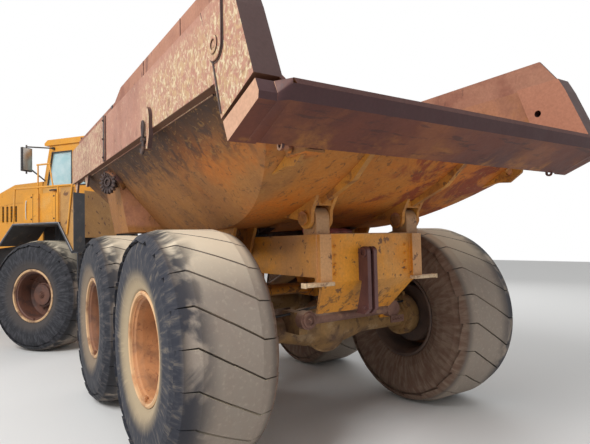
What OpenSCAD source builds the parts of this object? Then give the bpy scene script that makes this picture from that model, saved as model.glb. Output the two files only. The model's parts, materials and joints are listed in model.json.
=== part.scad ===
// Six-wheel articulated dump truck, parked with its tractor turned to the left and its bed down.
// +X is forward along the rear frame, +Y is left, +Z is up; the ground is z = 0.

/* [Wheels] */
// Radius of a tyre over its lugs
tyre_r = 885; // [850:5:920]
// Section width of a tyre
tyre_w = 750; // [680:10:790]
// Height of the tread lugs
lug_h = 26; // [15:1:40]
// Lugs in each half of the tread
lug_n = 21; // [16:1:26]
// Width of the grooves between the worn lugs
groove_w = 18; // [12:1:40]
// Radius over the rim flange
rim_r = 415; // [390:5:440]
// Distance between the wheel centre planes across the truck
track = 2636; // [2560:4:2720]
// Distance between the two rear axles
bogie_base = 1940; // [1880:5:2000]
// Radius of the fixed axle spindles
spindle_r = 90; // [70:5:105]

/* [Layout] */
// Steering hinge ahead of the rear axle
pivot_x = 5290; // [5200:10:5400]
// Front axle ahead of the steering hinge
front_axle_x = 1100; // [1080:5:1160]
// Angle the tractor is parked at, to the left
steer_rest = 37; // [30:1:40]

/* [Rear frame] */
// Height of the underside of the frame rails
rail_z = 1380; // [1340:5:1400]
// Depth of the frame rails
rail_h = 325; // [280:5:340]
// Width over the frame rails
frame_w = 1100; // [1040:10:1120]
// Width of one rail
rail_w = 150; // [120:5:170]
// Wall of the frame plates
frame_t = 25; // [16:1:30]
// Rear face of the frame behind the rear axle
frame_tail = 710; // [700:5:740]
// Height of the recovery pin at the rear
recovery_z = 1560; // [1500:5:1600]
// Radius of the recovery pin's bore
recovery_r = 25; // [15:1:28]
// Width over the two recovery plates
recovery_w = 100; // [90:2:120]
// Distance of the recovery pin from the middle of the truck
recovery_y = 90; // [60:5:120]

/* [Bed] */
// Width of the bed over its top rails
bed_w = 3200; // [3100:10:3300]
// Width of the flat floor of the bed
floor_w = 1740; // [1600:10:1760]
// Underside of the bed floor
floor_z = 1785; // [1780:5:1830]
// Height of the bottom of the top rail
rail_bottom_z = 2525; // [2480:5:2560]
// Height of the top of the top rail
bed_top_z = 2985; // [2940:5:3040]
// Front end of the top rails ahead of the rear axle
bed_front_x = 3640; // [3500:10:3700]
// Foot of the sloping front wall ahead of the rear axle
bed_foot_x = 2790; // [2750:10:2850]
// Place where the floor starts to rise to the tail
chute_x = 350; // [300:10:400]
// Radius of the curve of the floor up to the tail
chute_r = 3068; // [2960:4:3200]
// Rear edge of the tail lip behind the rear axle
lip_x = 1820; // [1760:10:1860]
// Height of the top of the tail lip
lip_z = 2425; // [2400:5:2450]
// Wall of the bed plates
bed_t = 25; // [16:1:30]
// Depth of the box rail outside the bed wall
rail_out = 75; // [60:5:90]
// Height of the spill guard over the rails
guard_h = 215; // [170:5:240]
// Width of the box post at the rear end of each rail
post_w = 160; // [130:5:170]
// Radius of a tailgate pivot bore
gate_r = 30; // [25:1:34]

/* [Tip hinge] */
// Tip hinge behind the rear axle
hinge_back = 615; // [605:5:620]
// Height of the tip hinge
hinge_z = 1830; // [1820:2:1834]
// Radius of the tip hinge pins
hinge_pin_r = 40; // [30:1:50]
// Radius of the knuckles round the pins
hinge_lug_r = 88; // [75:1:92]

/* [Hoist cylinders] */
// Lower pin of a hoist cylinder ahead of the rear axle
hoist_low_x = 2150; // [2120:5:2200]
// Height of the lower pin
hoist_low_z = 1030; // [1020:5:1060]
// Upper eye of a hoist cylinder ahead of the rear axle
hoist_top_x = 550; // [520:5:600]
// Height of the upper eye
hoist_top_z = 1650; // [1645:1:1655]
// Distance of a hoist cylinder from the middle of the truck
hoist_y = 675; // [670:1:680]
// Radius of a hoist barrel
hoist_r = 70; // [60:1:72]
// Radius of a hoist rod
hoist_rod_r = 45; // [35:1:50]

/* [Steering cylinders] */
// Barrel pin of a steering cylinder behind the steering hinge
st_back = 800; // [780:5:820]
// Barrel pin off the middle of the truck
st_back_y = 380; // [370:5:390]
// Rod eye ahead of the steering hinge
st_ahead = 700; // [690:5:710]
// Rod eye off the middle of the tractor
st_ahead_y = 466; // [463:1:475]
// Height of the steering cylinders
st_z = 1000; // [990:5:1010]
// Radius of a steering barrel
st_r = 52; // [45:1:55]
// Radius of a steering rod
st_rod_r = 32; // [25:1:35]

/* [Tractor] */
// Top of the front fenders
fender_z = 2055; // [2020:5:2070]
// Width over the fenders
tractor_w = 3240; // [3150:10:3300]
// Rear wall of the cab ahead of the steering hinge
cab_x = 320; // [310:5:360]
// Length of the cab at its floor
cab_l = 1480; // [1440:10:1500]
// Width of the cab
cab_w = 1640; // [1560:10:1700]
// Underside of the cab
cab_z = 2130; // [2120:5:2160]
// Top of the cab roof
roof_z = 3600; // [3560:10:3700]
// Wall of the cab
cab_t = 45; // [35:1:60]
// Front of the hood ahead of the steering hinge
nose_x = 4080; // [3980:10:4150]
// Width of the hood
hood_w = 1500; // [1400:10:1560]
// Wall of the hood
hood_t = 30; // [20:1:40]
// Radius of the hood hinge pins
hood_pin_r = 20; // [15:1:25]

/* [Fits] */
// Running clearance of pins and shafts, on the radius
fit = 0.05; // [0.02:0.01:0.1]
// Gap between pieces that face each other across a joint
gap = 10; // [8:1:14]

/* [Hidden] */
$fn = 48;
e = 0.3;
half_w = track / 2;
hub_z = tyre_r;
tread_r = tyre_r - lug_h;
bead_r = rim_r - 8;
bead_w = tyre_w / 2 - 78;
rail_y = frame_w / 2 - rail_w / 2;
frame_top = rail_z + rail_h;
hx = -hinge_back;
knuckle_w = 62;
// front of the rear frame, and the middle of the bogie beams
neck_x = pivot_x - 1140;
beam_y = half_w - tyre_w / 2 - 93;
beam_z = 1130;
// outer face of the bed wall, and how far its sides lean out for each step up
wall_y = bed_w / 2 - rail_out;
lean = (wall_y - floor_w / 2) / (rail_bottom_z - floor_z);
function slope_y(z) = floor_w / 2 + (z - floor_z) * lean;
// underside of the floor along the bed: flat, then an arc up to the lip
function arc_z(x, r) = floor_z + chute_r - sqrt(r * r - pow(min(x, chute_x) - chute_x, 2));
function arc_x(z, r) = chute_x - sqrt(r * r - pow(floor_z + chute_r - z, 2));
function chute_z(x) = min(arc_z(max(x, lip_foot), chute_r), lip_z - bed_t);
lip_foot = arc_x(lip_z - bed_t, chute_r);
// seam across the chute, and the front end of the flat floor
chute_seam = -985;
floor_end = bed_foot_x - 0.57 * bed_t - 1;
front_mid = bed_foot_x + 440;
front_top = bed_front_x - 140;
// steering linkage, seen from above, about the steering hinge
function turn(p, a) = [p.x * cos(a) - p.y * sin(a), p.x * sin(a) + p.y * cos(a)];
function st_eye(s) = turn([st_ahead, s * st_ahead_y], steer_rest);
function st_vec(s) = st_eye(s) - [-st_back, s * st_back_y];
function st_len(s) = norm(st_vec(s));
function st_ang(s) = atan2(st_vec(s).y, st_vec(s).x);
// shortest length of a steering cylinder, at full lock
st_min = norm(turn([st_ahead, st_ahead_y], 45) - [-st_back, st_back_y]);
st_barrel = st_min - 120;
st_rod = st_min - 95;
hoist_vec = [hoist_top_x - hoist_low_x, hoist_top_z - hoist_low_z];
hoist_len = norm(hoist_vec);
hoist_ang = atan2(hoist_vec.y, hoist_vec.x);
hoist_barrel = hoist_len - 120;
hoist_rod = hoist_len - 110;
cab_end = cab_x + cab_l;
deck_z = cab_z - 25;
belt_z = cab_z + 620;
eave_z = roof_z - 100;
ff_top = 1250;
ff_end = nose_x - 130;
hood_hinge = [ff_end + 10, 1500];
fender_y = half_w - tyre_w / 2 - 3;
// shift that puts the origin under the middle of the truck
origin = [3764.31, 898.404];

yellow = [0.86, 0.58, 0.14];
faded = [0.72, 0.52, 0.26];
rust = [0.42, 0.25, 0.17];
dust = [0.52, 0.48, 0.45];
dark = [0.12, 0.13, 0.16];
steel = [0.6, 0.6, 0.6];
pane = [0.6, 0.9, 0.95, 0.4];

// places a piece of the rear truck
module rear() translate([-origin.x, -origin.y, 0]) children();
// places a piece of the tractor, whose own x starts at the steering hinge
module tractor() rear() translate([pivot_x, 0, 0]) rotate([0, 0, steer_rest]) children();
// a box from one corner to the opposite one
module block(a, b) translate(a) cube(b - a);
// the same piece on both sides
module pair() for (s = [1, -1]) if (s == 1) children(); else mirror([0, 1, 0]) children();
// extrudes a side profile, drawn in x and z, from y0 to y1
module side(y0, y1) translate([0, y1, 0]) rotate([90, 0, 0]) linear_extrude(y1 - y0) children();
// extrudes a cross profile, drawn in y and z, from x0 to x1
module across(x0, x1) translate([x0, 0, 0]) rotate([90, 0, 90]) linear_extrude(x1 - x0) children();
// a round bar across the truck
module bar_y(x, z, r, y0, y1) translate([x, y1, z]) rotate([90, 0, 0]) cylinder(r = r, h = y1 - y0);
// a round bar between two points
module bar(p, q, r) translate(p) rotate([0, acos((q - p).z / norm(q - p)), atan2((q - p).y, (q - p).x)])
    cylinder(r = r, h = norm(q - p), $fn = 24);

// tyre about the y axis: half of its section, outside and inside, as radius and place across
module tyre() color(dust) rotate([-90, 0, 0]) {
    w = tyre_w / 2;
    s = [[bead_r, bead_w], [bead_r + 38, bead_w + 38], [rim_r + 110, w - 8], [rim_r + 190, w], [tread_r - 130, w - 4],
         [tread_r - 75, w - 22], [tread_r - 28, w - 75], [tread_r, w - 190]];
    t = [[bead_r, bead_w - 50], [rim_r + 100, w - 45], [tread_r - 190, w - 38], [tread_r - 90, w - 90]];
    rotate_extrude($fn = 36) polygon(concat(s, [for (i = [len(s) - 1:-1:0]) [s[i].x, -s[i].y]],
        [for (p = t) [p.x, -p.y]], [for (i = [len(t) - 1:-1:0]) t[i]]));
    // lugs that run out flat at the shoulders and slant across the middle, half a pitch in each half
    pitch = 2 * PI * tyre_r / lug_n; q = pitch / 4; h = (pitch - groove_w) / 2; b = w - 145;
    intersection() {
        for (i = [0:lug_n - 1], k = [1, -1]) rotate([0, 0, (i + k / 4) * 360 / lug_n]) translate([tread_r - 60, 0, 0])
            rotate([90, 0, 90]) linear_extrude(lug_h + 80) polygon([[k * q - h, k * w], [k * q + h, k * w],
                [k * q + h, k * b], [h - k * q, 0], [-h - k * q, 0], [k * q - h, k * b]]);
        rotate_extrude($fn = 48) polygon([[tread_r - 110, -w + 10], [tyre_r - 84, -w + 1], [tyre_r - 30, -w + 50], [tyre_r, -w + 165],
            [tyre_r, w - 165], [tyre_r - 30, w - 50], [tyre_r - 84, w - 1], [tread_r - 110, w - 10]]);
    }
}

// rim with its flange, lock ring, dished disc and hub, open side towards +y
module rim() color(yellow) rotate([-90, 0, 0]) {
    f = bead_r; v = bead_w;
    rotate_extrude($fn = 72) polygon([[f - e, v + 0.5], [f + 17, v + 18.5], [f + 21, v + 32], [f + 6, v + 40], [f - 10, v + 34],
        [f - 14, v + 14], [f - 30, v + 14], [f - 34, v + 2], [f - 46, v - 10], [f - 54, v - 60], [f - 60, 50], [f - 80, 22],
        [235, 6], [230, 0], [spindle_r + fit, 0], [spindle_r + fit, -230], [150, -230], [150, -190], [285, -190], [300, -175],
        [300, -60], [f - 80, -40], [f - 40, -v + 30], [f - 18, -v - 14], [f - 6, -v - 34], [f + 8, -v - 38], [f + 21, -v - 30],
        [f + 17, -v - 18.5], [f - e, -v - 0.5], [f - e, -v + 60], [f - 20, -v + 80], [f - 20, v - 80], [f - e, v - 60]]);
    rotate_extrude($fn = 48) polygon([[0, 30], [spindle_r + 30, 30], [spindle_r + 30, -10], [210, -10], [210, 40], [200, 48],
        [196, 112], [172, 118], [166, 146], [60, 152], [52, 166], [0, 166]]);
}

// side and place of each wheel
module wheel_at(x, s) rear() translate([x, s * half_w, hub_z]) rotate([0, 0, s > 0 ? 0 : 180]) children();
module front_wheel_at(s) tractor() translate([front_axle_x, s * half_w, hub_z]) rotate([0, 0, s > 0 ? 0 : 180]) children();

// axle casing with its round differential housing, about the y axis
module axle() {
    c = half_w - 390;
    rotate([-90, 0, 0]) rotate_extrude($fn = 48) polygon([[0, -half_w - 20], [spindle_r, -half_w - 20], [spindle_r, -c],
        [115, -c], [115, -460], [170, -210], [170, 210], [115, 460], [115, c], [spindle_r, c], [spindle_r, half_w + 20],
        [0, half_w + 20]]);
    rotate([0, 90, 0]) rotate_extrude($fn = 48) polygon([[0, -200], [120, -185], [225, -75], [240, -70], [240, -40], [228, -35],
        [228, 60], [130, 175], [0, 190]]);
}
// axle rods: place of the axle and the side of it that the rod lies on; its eyes as y and z
AXLE_RODS = [[0, -1], [bogie_base, 1]];
ROD_EYES = [[425, 1012], [-511, 1024]];
rod_x = 365;
module rear_axles() color(yellow) rear() for (r = AXLE_RODS) translate([r[0], 0, hub_z]) {
    axle();
    block([r[1] > 0 ? 60 : -rod_x + 45 + e, 385, 0], [r[1] > 0 ? rod_x - 45 - e : -60, 465, 180]);
}
module front_axle() color(yellow) tractor() translate([front_axle_x, 0, hub_z]) axle();
module axle_rods() color(rust) rear() for (r = AXLE_RODS) translate([r[0] + r[1] * rod_x, 0, 0]) {
    for (p = ROD_EYES) translate([-45, p[0], p[1]]) rotate([0, 90, 0]) cylinder(r = 76, h = 90);
    bar([0, ROD_EYES[1][0], ROD_EYES[1][1]], [0, ROD_EYES[0][0], ROD_EYES[0][1]], 44);
}
// hangers of the axle rods under the right rail
module rod_hangers() rear() for (r = AXLE_RODS) translate([r[0] + r[1] * (rod_x - 45 - e), 0, 0])
    block([r[1] > 0 ? -25 : 0, -frame_w / 2 + 5, 940], [r[1] > 0 ? 0 : 25, -430, rail_z - e]);

module rear_frame() color(yellow) rear() {
    difference() {
        union() {
            pair() block([-frame_tail, rail_y - rail_w / 2, rail_z], [neck_x, rail_y + rail_w / 2, frame_top]);
            // rear posts with the knuckles of the tip hinge
            pair() block([-frame_tail - 35, rail_y - 45, rail_z - 35], [-frame_tail + frame_t, rail_y + 62, frame_top]);
            pair() bar_y(hx, hinge_z, hinge_lug_r, rail_y - knuckle_w, rail_y + knuckle_w);
            pair() block([hx - hinge_lug_r, rail_y - knuckle_w, frame_top - 1], [hx + hinge_lug_r, rail_y + knuckle_w, hinge_z]);
            // rear cross plate and the tapered plate below it
            block([-frame_tail, -rail_y, rail_z], [-frame_tail + frame_t, rail_y, frame_top]);
            intersection() {
                side(-frame_w / 2, frame_w / 2) polygon([[-frame_tail, rail_z + 20], [-frame_tail, rail_z - 45],
                    [-frame_tail + 225, 1070], [-frame_tail + 250, 1070], [-frame_tail + frame_t, rail_z - 30],
                    [-frame_tail + frame_t, rail_z + 20]]);
                across(-1000, 0) polygon([[-550, rail_z + 20], [550, rail_z + 20], [550, rail_z - 45], [480, rail_z - 80],
                    [390, 1070], [-390, 1070], [-480, rail_z - 80], [-550, rail_z - 45]]);
            }
            for (x = [870, 2700]) block([x, -rail_y, rail_z + 40], [x + 140, rail_y, frame_top - 40]);
        }
        pair() bar_y(hx, hinge_z, hinge_pin_r + fit, 300, 700);
        pair() block([-frame_tail + frame_t, rail_y - rail_w / 2 + frame_t, rail_z + frame_t],
            [neck_x - frame_t, rail_y + rail_w / 2 - frame_t, frame_top - frame_t]);
    }
}
// neck down to the swivel tube, legs of the bogie pivot and hangers of the hoists, all under the rails
module frame_neck() color(yellow) rear() {
    z = rail_z - e;
    pair() side(rail_y - 40, rail_y + 40) polygon([[neck_x - 450, z], [neck_x, z], [neck_x, st_z - 200], [neck_x - 150, st_z - 200]]);
    block([neck_x - 150, -rail_y, st_z - 200], [neck_x - 110, rail_y, z]);
    block([neck_x - 40, -rail_y, st_z - 200], [neck_x, rail_y, z]);
    translate([neck_x - 1, 0, st_z]) rotate([0, 90, 0]) cylinder(r = 230, h = pivot_x - neck_x + 1 - st_back - 50 - e);
}
module bogie_legs() color(yellow) rear() {
    z = rail_z - e; m = bogie_base / 2;
    pair() side(frame_w / 2 - 60, frame_w / 2 - 10) polygon([[m - 270, z], [m - 150, beam_z - 90], [m + 150, beam_z - 90],
        [m + 270, z]]);
    bar_y(m, beam_z, 60, -beam_y - 80, beam_y + 80);
}
module hoist_hangers() color(yellow) rear() pair() {
    z = rail_z - e;
    side(frame_w / 2 - 30, frame_w / 2) polygon([[hoist_low_x - 60, z], [hoist_low_x - 85, hoist_low_z - 30],
        [hoist_low_x - 30, hoist_low_z - 105], [hoist_low_x + 60, hoist_low_z - 95], [hoist_low_x + 95, hoist_low_z - 50],
        [hoist_low_x + 95, hoist_low_z + 90], [hoist_low_x + 230, z]]);
    bar_y(hoist_low_x, hoist_low_z, 40, frame_w / 2 - 20, hoist_y + 70);
}
// pair of round-topped plates with a bore for a recovery pin, and the bars of the rear lamps
module tow_plates() color(rust) rear() {
    x = -frame_tail - e;
    difference() {
        for (y = [recovery_y - recovery_w / 2, recovery_y + recovery_w / 2 - 34]) side(y, y + 34) {
            translate([x - 62, recovery_z]) circle(r = 46);
            polygon([[x, recovery_z + 30], [x - 30, recovery_z + 30], [x - 62, recovery_z], [x - 108, recovery_z],
                [x - 108, 1120], [x - 60, 1075], [x + 40, 1075], [x - 35, rail_z - 45], [x, rail_z - 40]]);
        }
        bar_y(x - 62, recovery_z, recovery_r, recovery_y - 100, recovery_y + 100);
    }
    pair() block([x - 60, rail_y - 45, rail_z - 62], [x, frame_w / 2 + 140, rail_z - 35 - e]);
}
module safety_prop() color([0.75, 0.35, 0.3]) rear() bar([hx + 145, rail_y - 5, frame_top + 34 + e], [150, 5 - rail_y, frame_top + 34 + e], 34);

// yoke with one plate above and one below the steering cylinders
module hitch_yoke() color(yellow) rear() difference() {
    union() {
        for (z = [[st_z + 155, st_z + 200], [st_z - 200, st_z - 155]]) translate([0, 0, z[0]])
            linear_extrude(z[1] - z[0]) union() {
                translate([pivot_x, 0]) circle(r = 130);
                polygon([[pivot_x - st_back - 50, -240], [pivot_x - st_back + 60, -240], [pivot_x, -130],
                    [pivot_x, 130], [pivot_x - st_back + 60, 240], [pivot_x - st_back - 50, 240]]);
            }
        block([pivot_x - st_back - 50, -240, st_z - 200], [pivot_x - st_back + 70, 240, st_z + 200]);
        // ears and pins of the steering barrels
        for (s = [1, -1], z = [58, -78]) translate([pivot_x - st_back, s * st_back_y, st_z + z]) {
            cylinder(r = 60, h = 20);
            translate([-50, s > 0 ? -200 : 0, 0]) cube([40, 200, 20]);
        }
        for (s = [1, -1]) translate([pivot_x - st_back, s * st_back_y, st_z - 70]) cylinder(r = 28, h = 140);
    }
    translate([pivot_x, 0, st_z - 300]) cylinder(r = 50 + fit, h = 600);
}

module bogie_beams() color(yellow) rear() pair() difference() {
    side(beam_y - 60, beam_y + 60) polygon([[-60, 1000], [60, 1000], [bogie_base / 2, beam_z - 130], [bogie_base - 60, 1000],
        [bogie_base + 60, 1000], [bogie_base + 60, 1075], [bogie_base / 2 + 110, beam_z + 115], [bogie_base / 2 - 110, beam_z + 115],
        [-60, 1075]]);
    bar_y(bogie_base / 2, beam_z, 60 + e, beam_y - 200, beam_y + 200);
}

// bed section across the truck, drawn in y and z, pulled in by d
module bed_section(d) {
    k = sqrt(1 + lean * lean); up = d > 0 ? 400 : 0;
    b = wall_y - d; f = floor_w / 2 - (k - lean) * d; knee = rail_bottom_z + (k - 1) * d / lean;
    polygon([[-f, floor_z + d], [f, floor_z + d], [b, knee], [b, bed_top_z + up], [-b, bed_top_z + up], [-b, knee]]);
}
// bed outline from the side, and its hollow, drawn in x and z
module bed_side() polygon(concat([[-lip_x, lip_z - bed_t]], [for (i = [0:12]) let(x = lip_foot + (chute_x - lip_foot) * i / 12)
    [x, arc_z(x, chute_r)]], [[bed_foot_x, floor_z], [front_mid, rail_bottom_z], [front_top, bed_top_z], [-lip_x + 320, bed_top_z],
    [-lip_x + 260, bed_top_z - 118], [-lip_x + 90, lip_z + 26], [-lip_x + 84, lip_z], [-lip_x, lip_z]]));
module bed_hollow() {
    r = chute_r - bed_t; x0 = arc_x(lip_z, r); t = 1.17 * bed_t;
    polygon(concat([[-lip_x - 300, lip_z]], [for (i = [0:12]) let(x = x0 + (chute_x - x0) * i / 12) [x, arc_z(x, r)]],
        [[bed_foot_x - 0.57 * bed_t, floor_z + bed_t], [front_mid - t, rail_bottom_z], [front_top - t, bed_top_z],
        [front_top - t + 235, bed_top_z + 400], [-lip_x - 300, bed_top_z + 400]]));
}
// box post at the rear end of a rail, in x and z, grown by g
module post_outline(g) polygon([[-lip_x + 700 + g, bed_top_z + g], [-lip_x + 320 - g, bed_top_z + g], [-lip_x + 260 - g, bed_top_z - 118],
    [-lip_x + 90 - g, lip_z + 26], [-lip_x + 90 - g, lip_z + 26 - g], [-lip_x + 460, lip_z - 113 - g],
    [-lip_x + 460 + g, lip_z - 113 - g], [-lip_x + 540 + g, rail_bottom_z]]);
// inside of the bed section carried down through the floor, in y and z
module tub_inside(d) {
    k = sqrt(1 + lean * lean); b = wall_y - d; f = floor_w / 2 - k * d - 10 * lean; knee = rail_bottom_z + (k - 1) * d / lean;
    polygon([[-f, floor_z - 10], [f, floor_z - 10], [b, knee], [b, bed_top_z + 400], [-b, bed_top_z + 400], [-b, knee]]);
}
// plates between the sides of the bed from x0 to x1
module bed_plate(x0, x1) color(faded) rear() difference() {
    intersection() {
        across(x0, x1) tub_inside(bed_t + e);
        side(-2000, 2000) bed_side();
    }
    side(-2100, 2100) bed_hollow();
    pair() side(bed_w / 2 - post_w - e, bed_w / 2 + 50) post_outline(e);
}
module bed_floor() bed_plate(chute_x + e, floor_end);
module bed_chute() {
    bed_plate(-2500, chute_seam);
    bed_plate(chute_seam + e, chute_x);
}
module bed_front() bed_plate(floor_end + e, 4500);
// leaning plates and the upright walls that stand on them
module bed_sides() color(faded) rear() for (z = [[0, rail_bottom_z], [rail_bottom_z + e, 4000]]) difference() {
    intersection() {
        across(-2500, 4500) bed_section(0);
        side(-2000, 2000) bed_side();
        block([-2500, -2000, z[0]], [4500, 2000, z[1]]);
    }
    across(-2600, 4600) tub_inside(bed_t);
    pair() side(bed_w / 2 - post_w - e, bed_w / 2 + 50) post_outline(e);
}
// ears of the tip hinge with their cross plates and ribs up to the tail, and the ears of the hoists
module bed_ears() color(faded) rear() difference() {
    pair() ear_plates();
    translate([0, 0, -e]) side(-2000, 2000) bed_side();
}
module ear_plates() {
    for (y = [rail_y - knuckle_w - gap - 30, rail_y + knuckle_w + gap]) side(y, y + 30) {
        translate([hx, hinge_z]) circle(r = hinge_lug_r - 8);
        polygon([[hx - 79, hinge_z + 10], [hx - 85, hinge_z + 60], [hx - 160, chute_z(hx - 160) + 8], [hx + 330, chute_z(hx + 330) + 8],
            [hx + 78, hinge_z - 10]]);
    }
    bar_y(hx, hinge_z, hinge_pin_r, rail_y - knuckle_w - gap - 30, rail_y + knuckle_w + gap + 50);
    block([hx - 110, rail_y - knuckle_w - gap - 1, chute_z(hx - 110) - 55], [hx - 90, rail_y + knuckle_w + gap + 1, chute_z(hx - 110) + 6]);
    side(rail_y - 22, rail_y + 22) {
        polygon([[-1478, chute_z(-1478) - 8], [-1478, chute_z(-1478) + 8], [chute_seam, chute_z(chute_seam) + 8],
            [chute_seam, chute_z(chute_seam) - 59], [-1100, chute_z(-1100) - 75]]);
        polygon([[chute_seam + e, chute_z(chute_seam) - 59], [chute_seam + e, chute_z(chute_seam) + 8],
            [hx - 92, chute_z(hx - 92) + 8], [hx - 92, chute_z(hx - 92) - 45]]);
    }
    // eye plates of the tail under the chute
    side(1060, 1085) difference() {
        polygon([[-1410, chute_z(-1410) + 6], [-1370, 2180], [-1260, 2110], [-1150, 2120], [-960, chute_z(-960) + 10]]);
        translate([-1260, 2200]) circle(r = 30);
    }
    for (y = [hoist_y - 115, hoist_y + 85]) side(y, y + 30) polygon([[hoist_top_x - 360, floor_z + 8],
        [hoist_top_x - 240, hoist_top_z - 90], [hoist_top_x + 120, hoist_top_z - 90], [hoist_top_x + 240, floor_z + 8]]);
}
// box rails with their rear posts, straps, lifting plates and front gussets
module bed_rails() color(faded) rear() pair() difference() {
    union() {
        side(wall_y + e, bed_w / 2) polygon([[bed_front_x, rail_bottom_z], [bed_front_x, bed_top_z], [-lip_x + 600, bed_top_z],
            [-lip_x + 500, rail_bottom_z]]);
        side(bed_w / 2 - post_w, bed_w / 2) post_outline(0);
        side(bed_w / 2 - 5, bed_w / 2 + 12) polygon([[1460, rail_bottom_z], [1548, rail_bottom_z], [1548, bed_top_z], [1460, bed_top_z]]);
        // lifting plate with a round top
        side(bed_w / 2 - 5, bed_w / 2 + 28) difference() {
            union() {
                translate([-40, rail_bottom_z + 80]) circle(r = 95);
                polygon([[-135, rail_bottom_z + 80], [-135, rail_bottom_z - 60], [-90, rail_bottom_z - 150], [10, rail_bottom_z - 150],
                    [55, rail_bottom_z - 60], [55, rail_bottom_z + 80]]);
            }
            translate([-40, rail_bottom_z - 80]) circle(r = 32);
        }
        for (x = [front_top + 20, 2780]) side(wall_y + 20, wall_y + 45) polygon([[x + 100, rail_bottom_z + 5], [x - 150, rail_bottom_z + 5],
            [x - 60, rail_bottom_z - 130], [x - 10, rail_bottom_z - 130]]);
    }
    // tailgate pivot
    bar_y(-lip_x + 510, bed_top_z - 258, gate_r, bed_w / 2 - post_w - 50, bed_w / 2 + 50);
}
// stiffeners on the leaning sides with the round flange of the heating duct
module side_ribs() color(faded) rear() pair() {
    across(1800, 2450) polygon([[slope_y(1800) + 1, 1800], [1300, 1800], [1390, 2280], [slope_y(2400) + 1, 2400]]);
    translate([1880, slope_y(2385) + 0.6, 2385]) rotate([-90 - atan(lean), 0, 0]) cylinder(r = 145, h = 45);
}
module spill_guards() color(rust) rear() {
    h = guard_h - 85; k = (front_top - front_mid) / (bed_top_z - rail_bottom_z); t = 1.17 * bed_t;
    pair() side(wall_y - bed_t, wall_y) polygon([[front_top, bed_top_z + e], [front_top + k * h, bed_top_z + h], [1400, bed_top_z + h],
        [1150, bed_top_z + guard_h], [-lip_x + 510, bed_top_z + guard_h], [-lip_x + 350, bed_top_z + e]]);
    side(-wall_y + bed_t + e, wall_y - bed_t - e) polygon([[front_top - t, bed_top_z + e], [front_top, bed_top_z + e], [front_top + k * (h + 70), bed_top_z + h + 70],
        [front_top - t + k * (h + 70), bed_top_z + h + 70]]);
}
// beam under the tail lip with an end cap under each post
module tail_beam() color(rust) rear() {
    z = lip_z - bed_t - e; y = max(bed_w / 2 - post_w, slope_y(lip_z) + 2); f = -lip_x + 340;
    side(-y, y) polygon([[-lip_x, z], [-lip_x + 30, z - 75], [f, z - 222], [f, chute_z(f) - 1], [lip_foot - 4, z]]);
    pair() side(y - 1, bed_w / 2) polygon([[-lip_x + 74, lip_z - 7], [-lip_x + 42, lip_z - 73], [-lip_x + 48, lip_z - 109],
        [-lip_x + 384, lip_z - 246], [-lip_x + 437, lip_z - 129 - 3]]);
    for (s = [1, -1]) translate([-lip_x + 353, s * 1300, z - 222]) rotate([90, 0, 0]) difference() {
        cylinder(r = 28, h = 16, center = true);
        cylinder(r = 14, h = 40, center = true);
    }
}

module hoist(s) rear() translate([hoist_low_x, s * hoist_y, hoist_low_z]) rotate([0, -hoist_ang, 0]) children();
module hoist_barrel(s) color(yellow) hoist(s) difference() {
    union() {
        rotate([90, 0, 0]) cylinder(r = 78, h = 130, center = true);
        rotate([0, 90, 0]) cylinder(r = hoist_r, h = hoist_barrel);
    }
    rotate([90, 0, 0]) cylinder(r = 40 + fit, h = 200, center = true);
    translate([100, 0, 0]) rotate([0, 90, 0]) cylinder(r = hoist_rod_r + fit, h = hoist_barrel);
}
module hoist_rod(s) color(steel) hoist(s) {
    translate([hoist_len, 0, 0]) rotate([90, 0, 0]) cylinder(r = 52, h = 150, center = true);
    translate([hoist_len - hoist_rod, 0, 0]) rotate([0, 90, 0]) cylinder(r = hoist_rod_r, h = hoist_rod);
}
module steer_cyl(s) rear() translate([pivot_x - st_back, s * st_back_y, st_z]) rotate([0, 0, st_ang(s)]) children();
module steer_barrel(s) color(yellow) steer_cyl(s) difference() {
    union() {
        cylinder(r = 55, h = 100, center = true);
        rotate([0, 90, 0]) cylinder(r = st_r, h = st_barrel);
    }
    cylinder(r = 28 + fit, h = 200, center = true);
    translate([70, 0, 0]) rotate([0, 90, 0]) cylinder(r = st_rod_r + fit, h = st_barrel);
}
module steer_rod(s) color(steel) steer_cyl(s) {
    translate([st_len(s), 0, 0]) cylinder(r = 52, h = 90, center = true);
    translate([st_len(s) - st_rod, 0, 0]) rotate([0, 90, 0]) cylinder(r = st_rod_r, h = st_rod);
}

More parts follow.
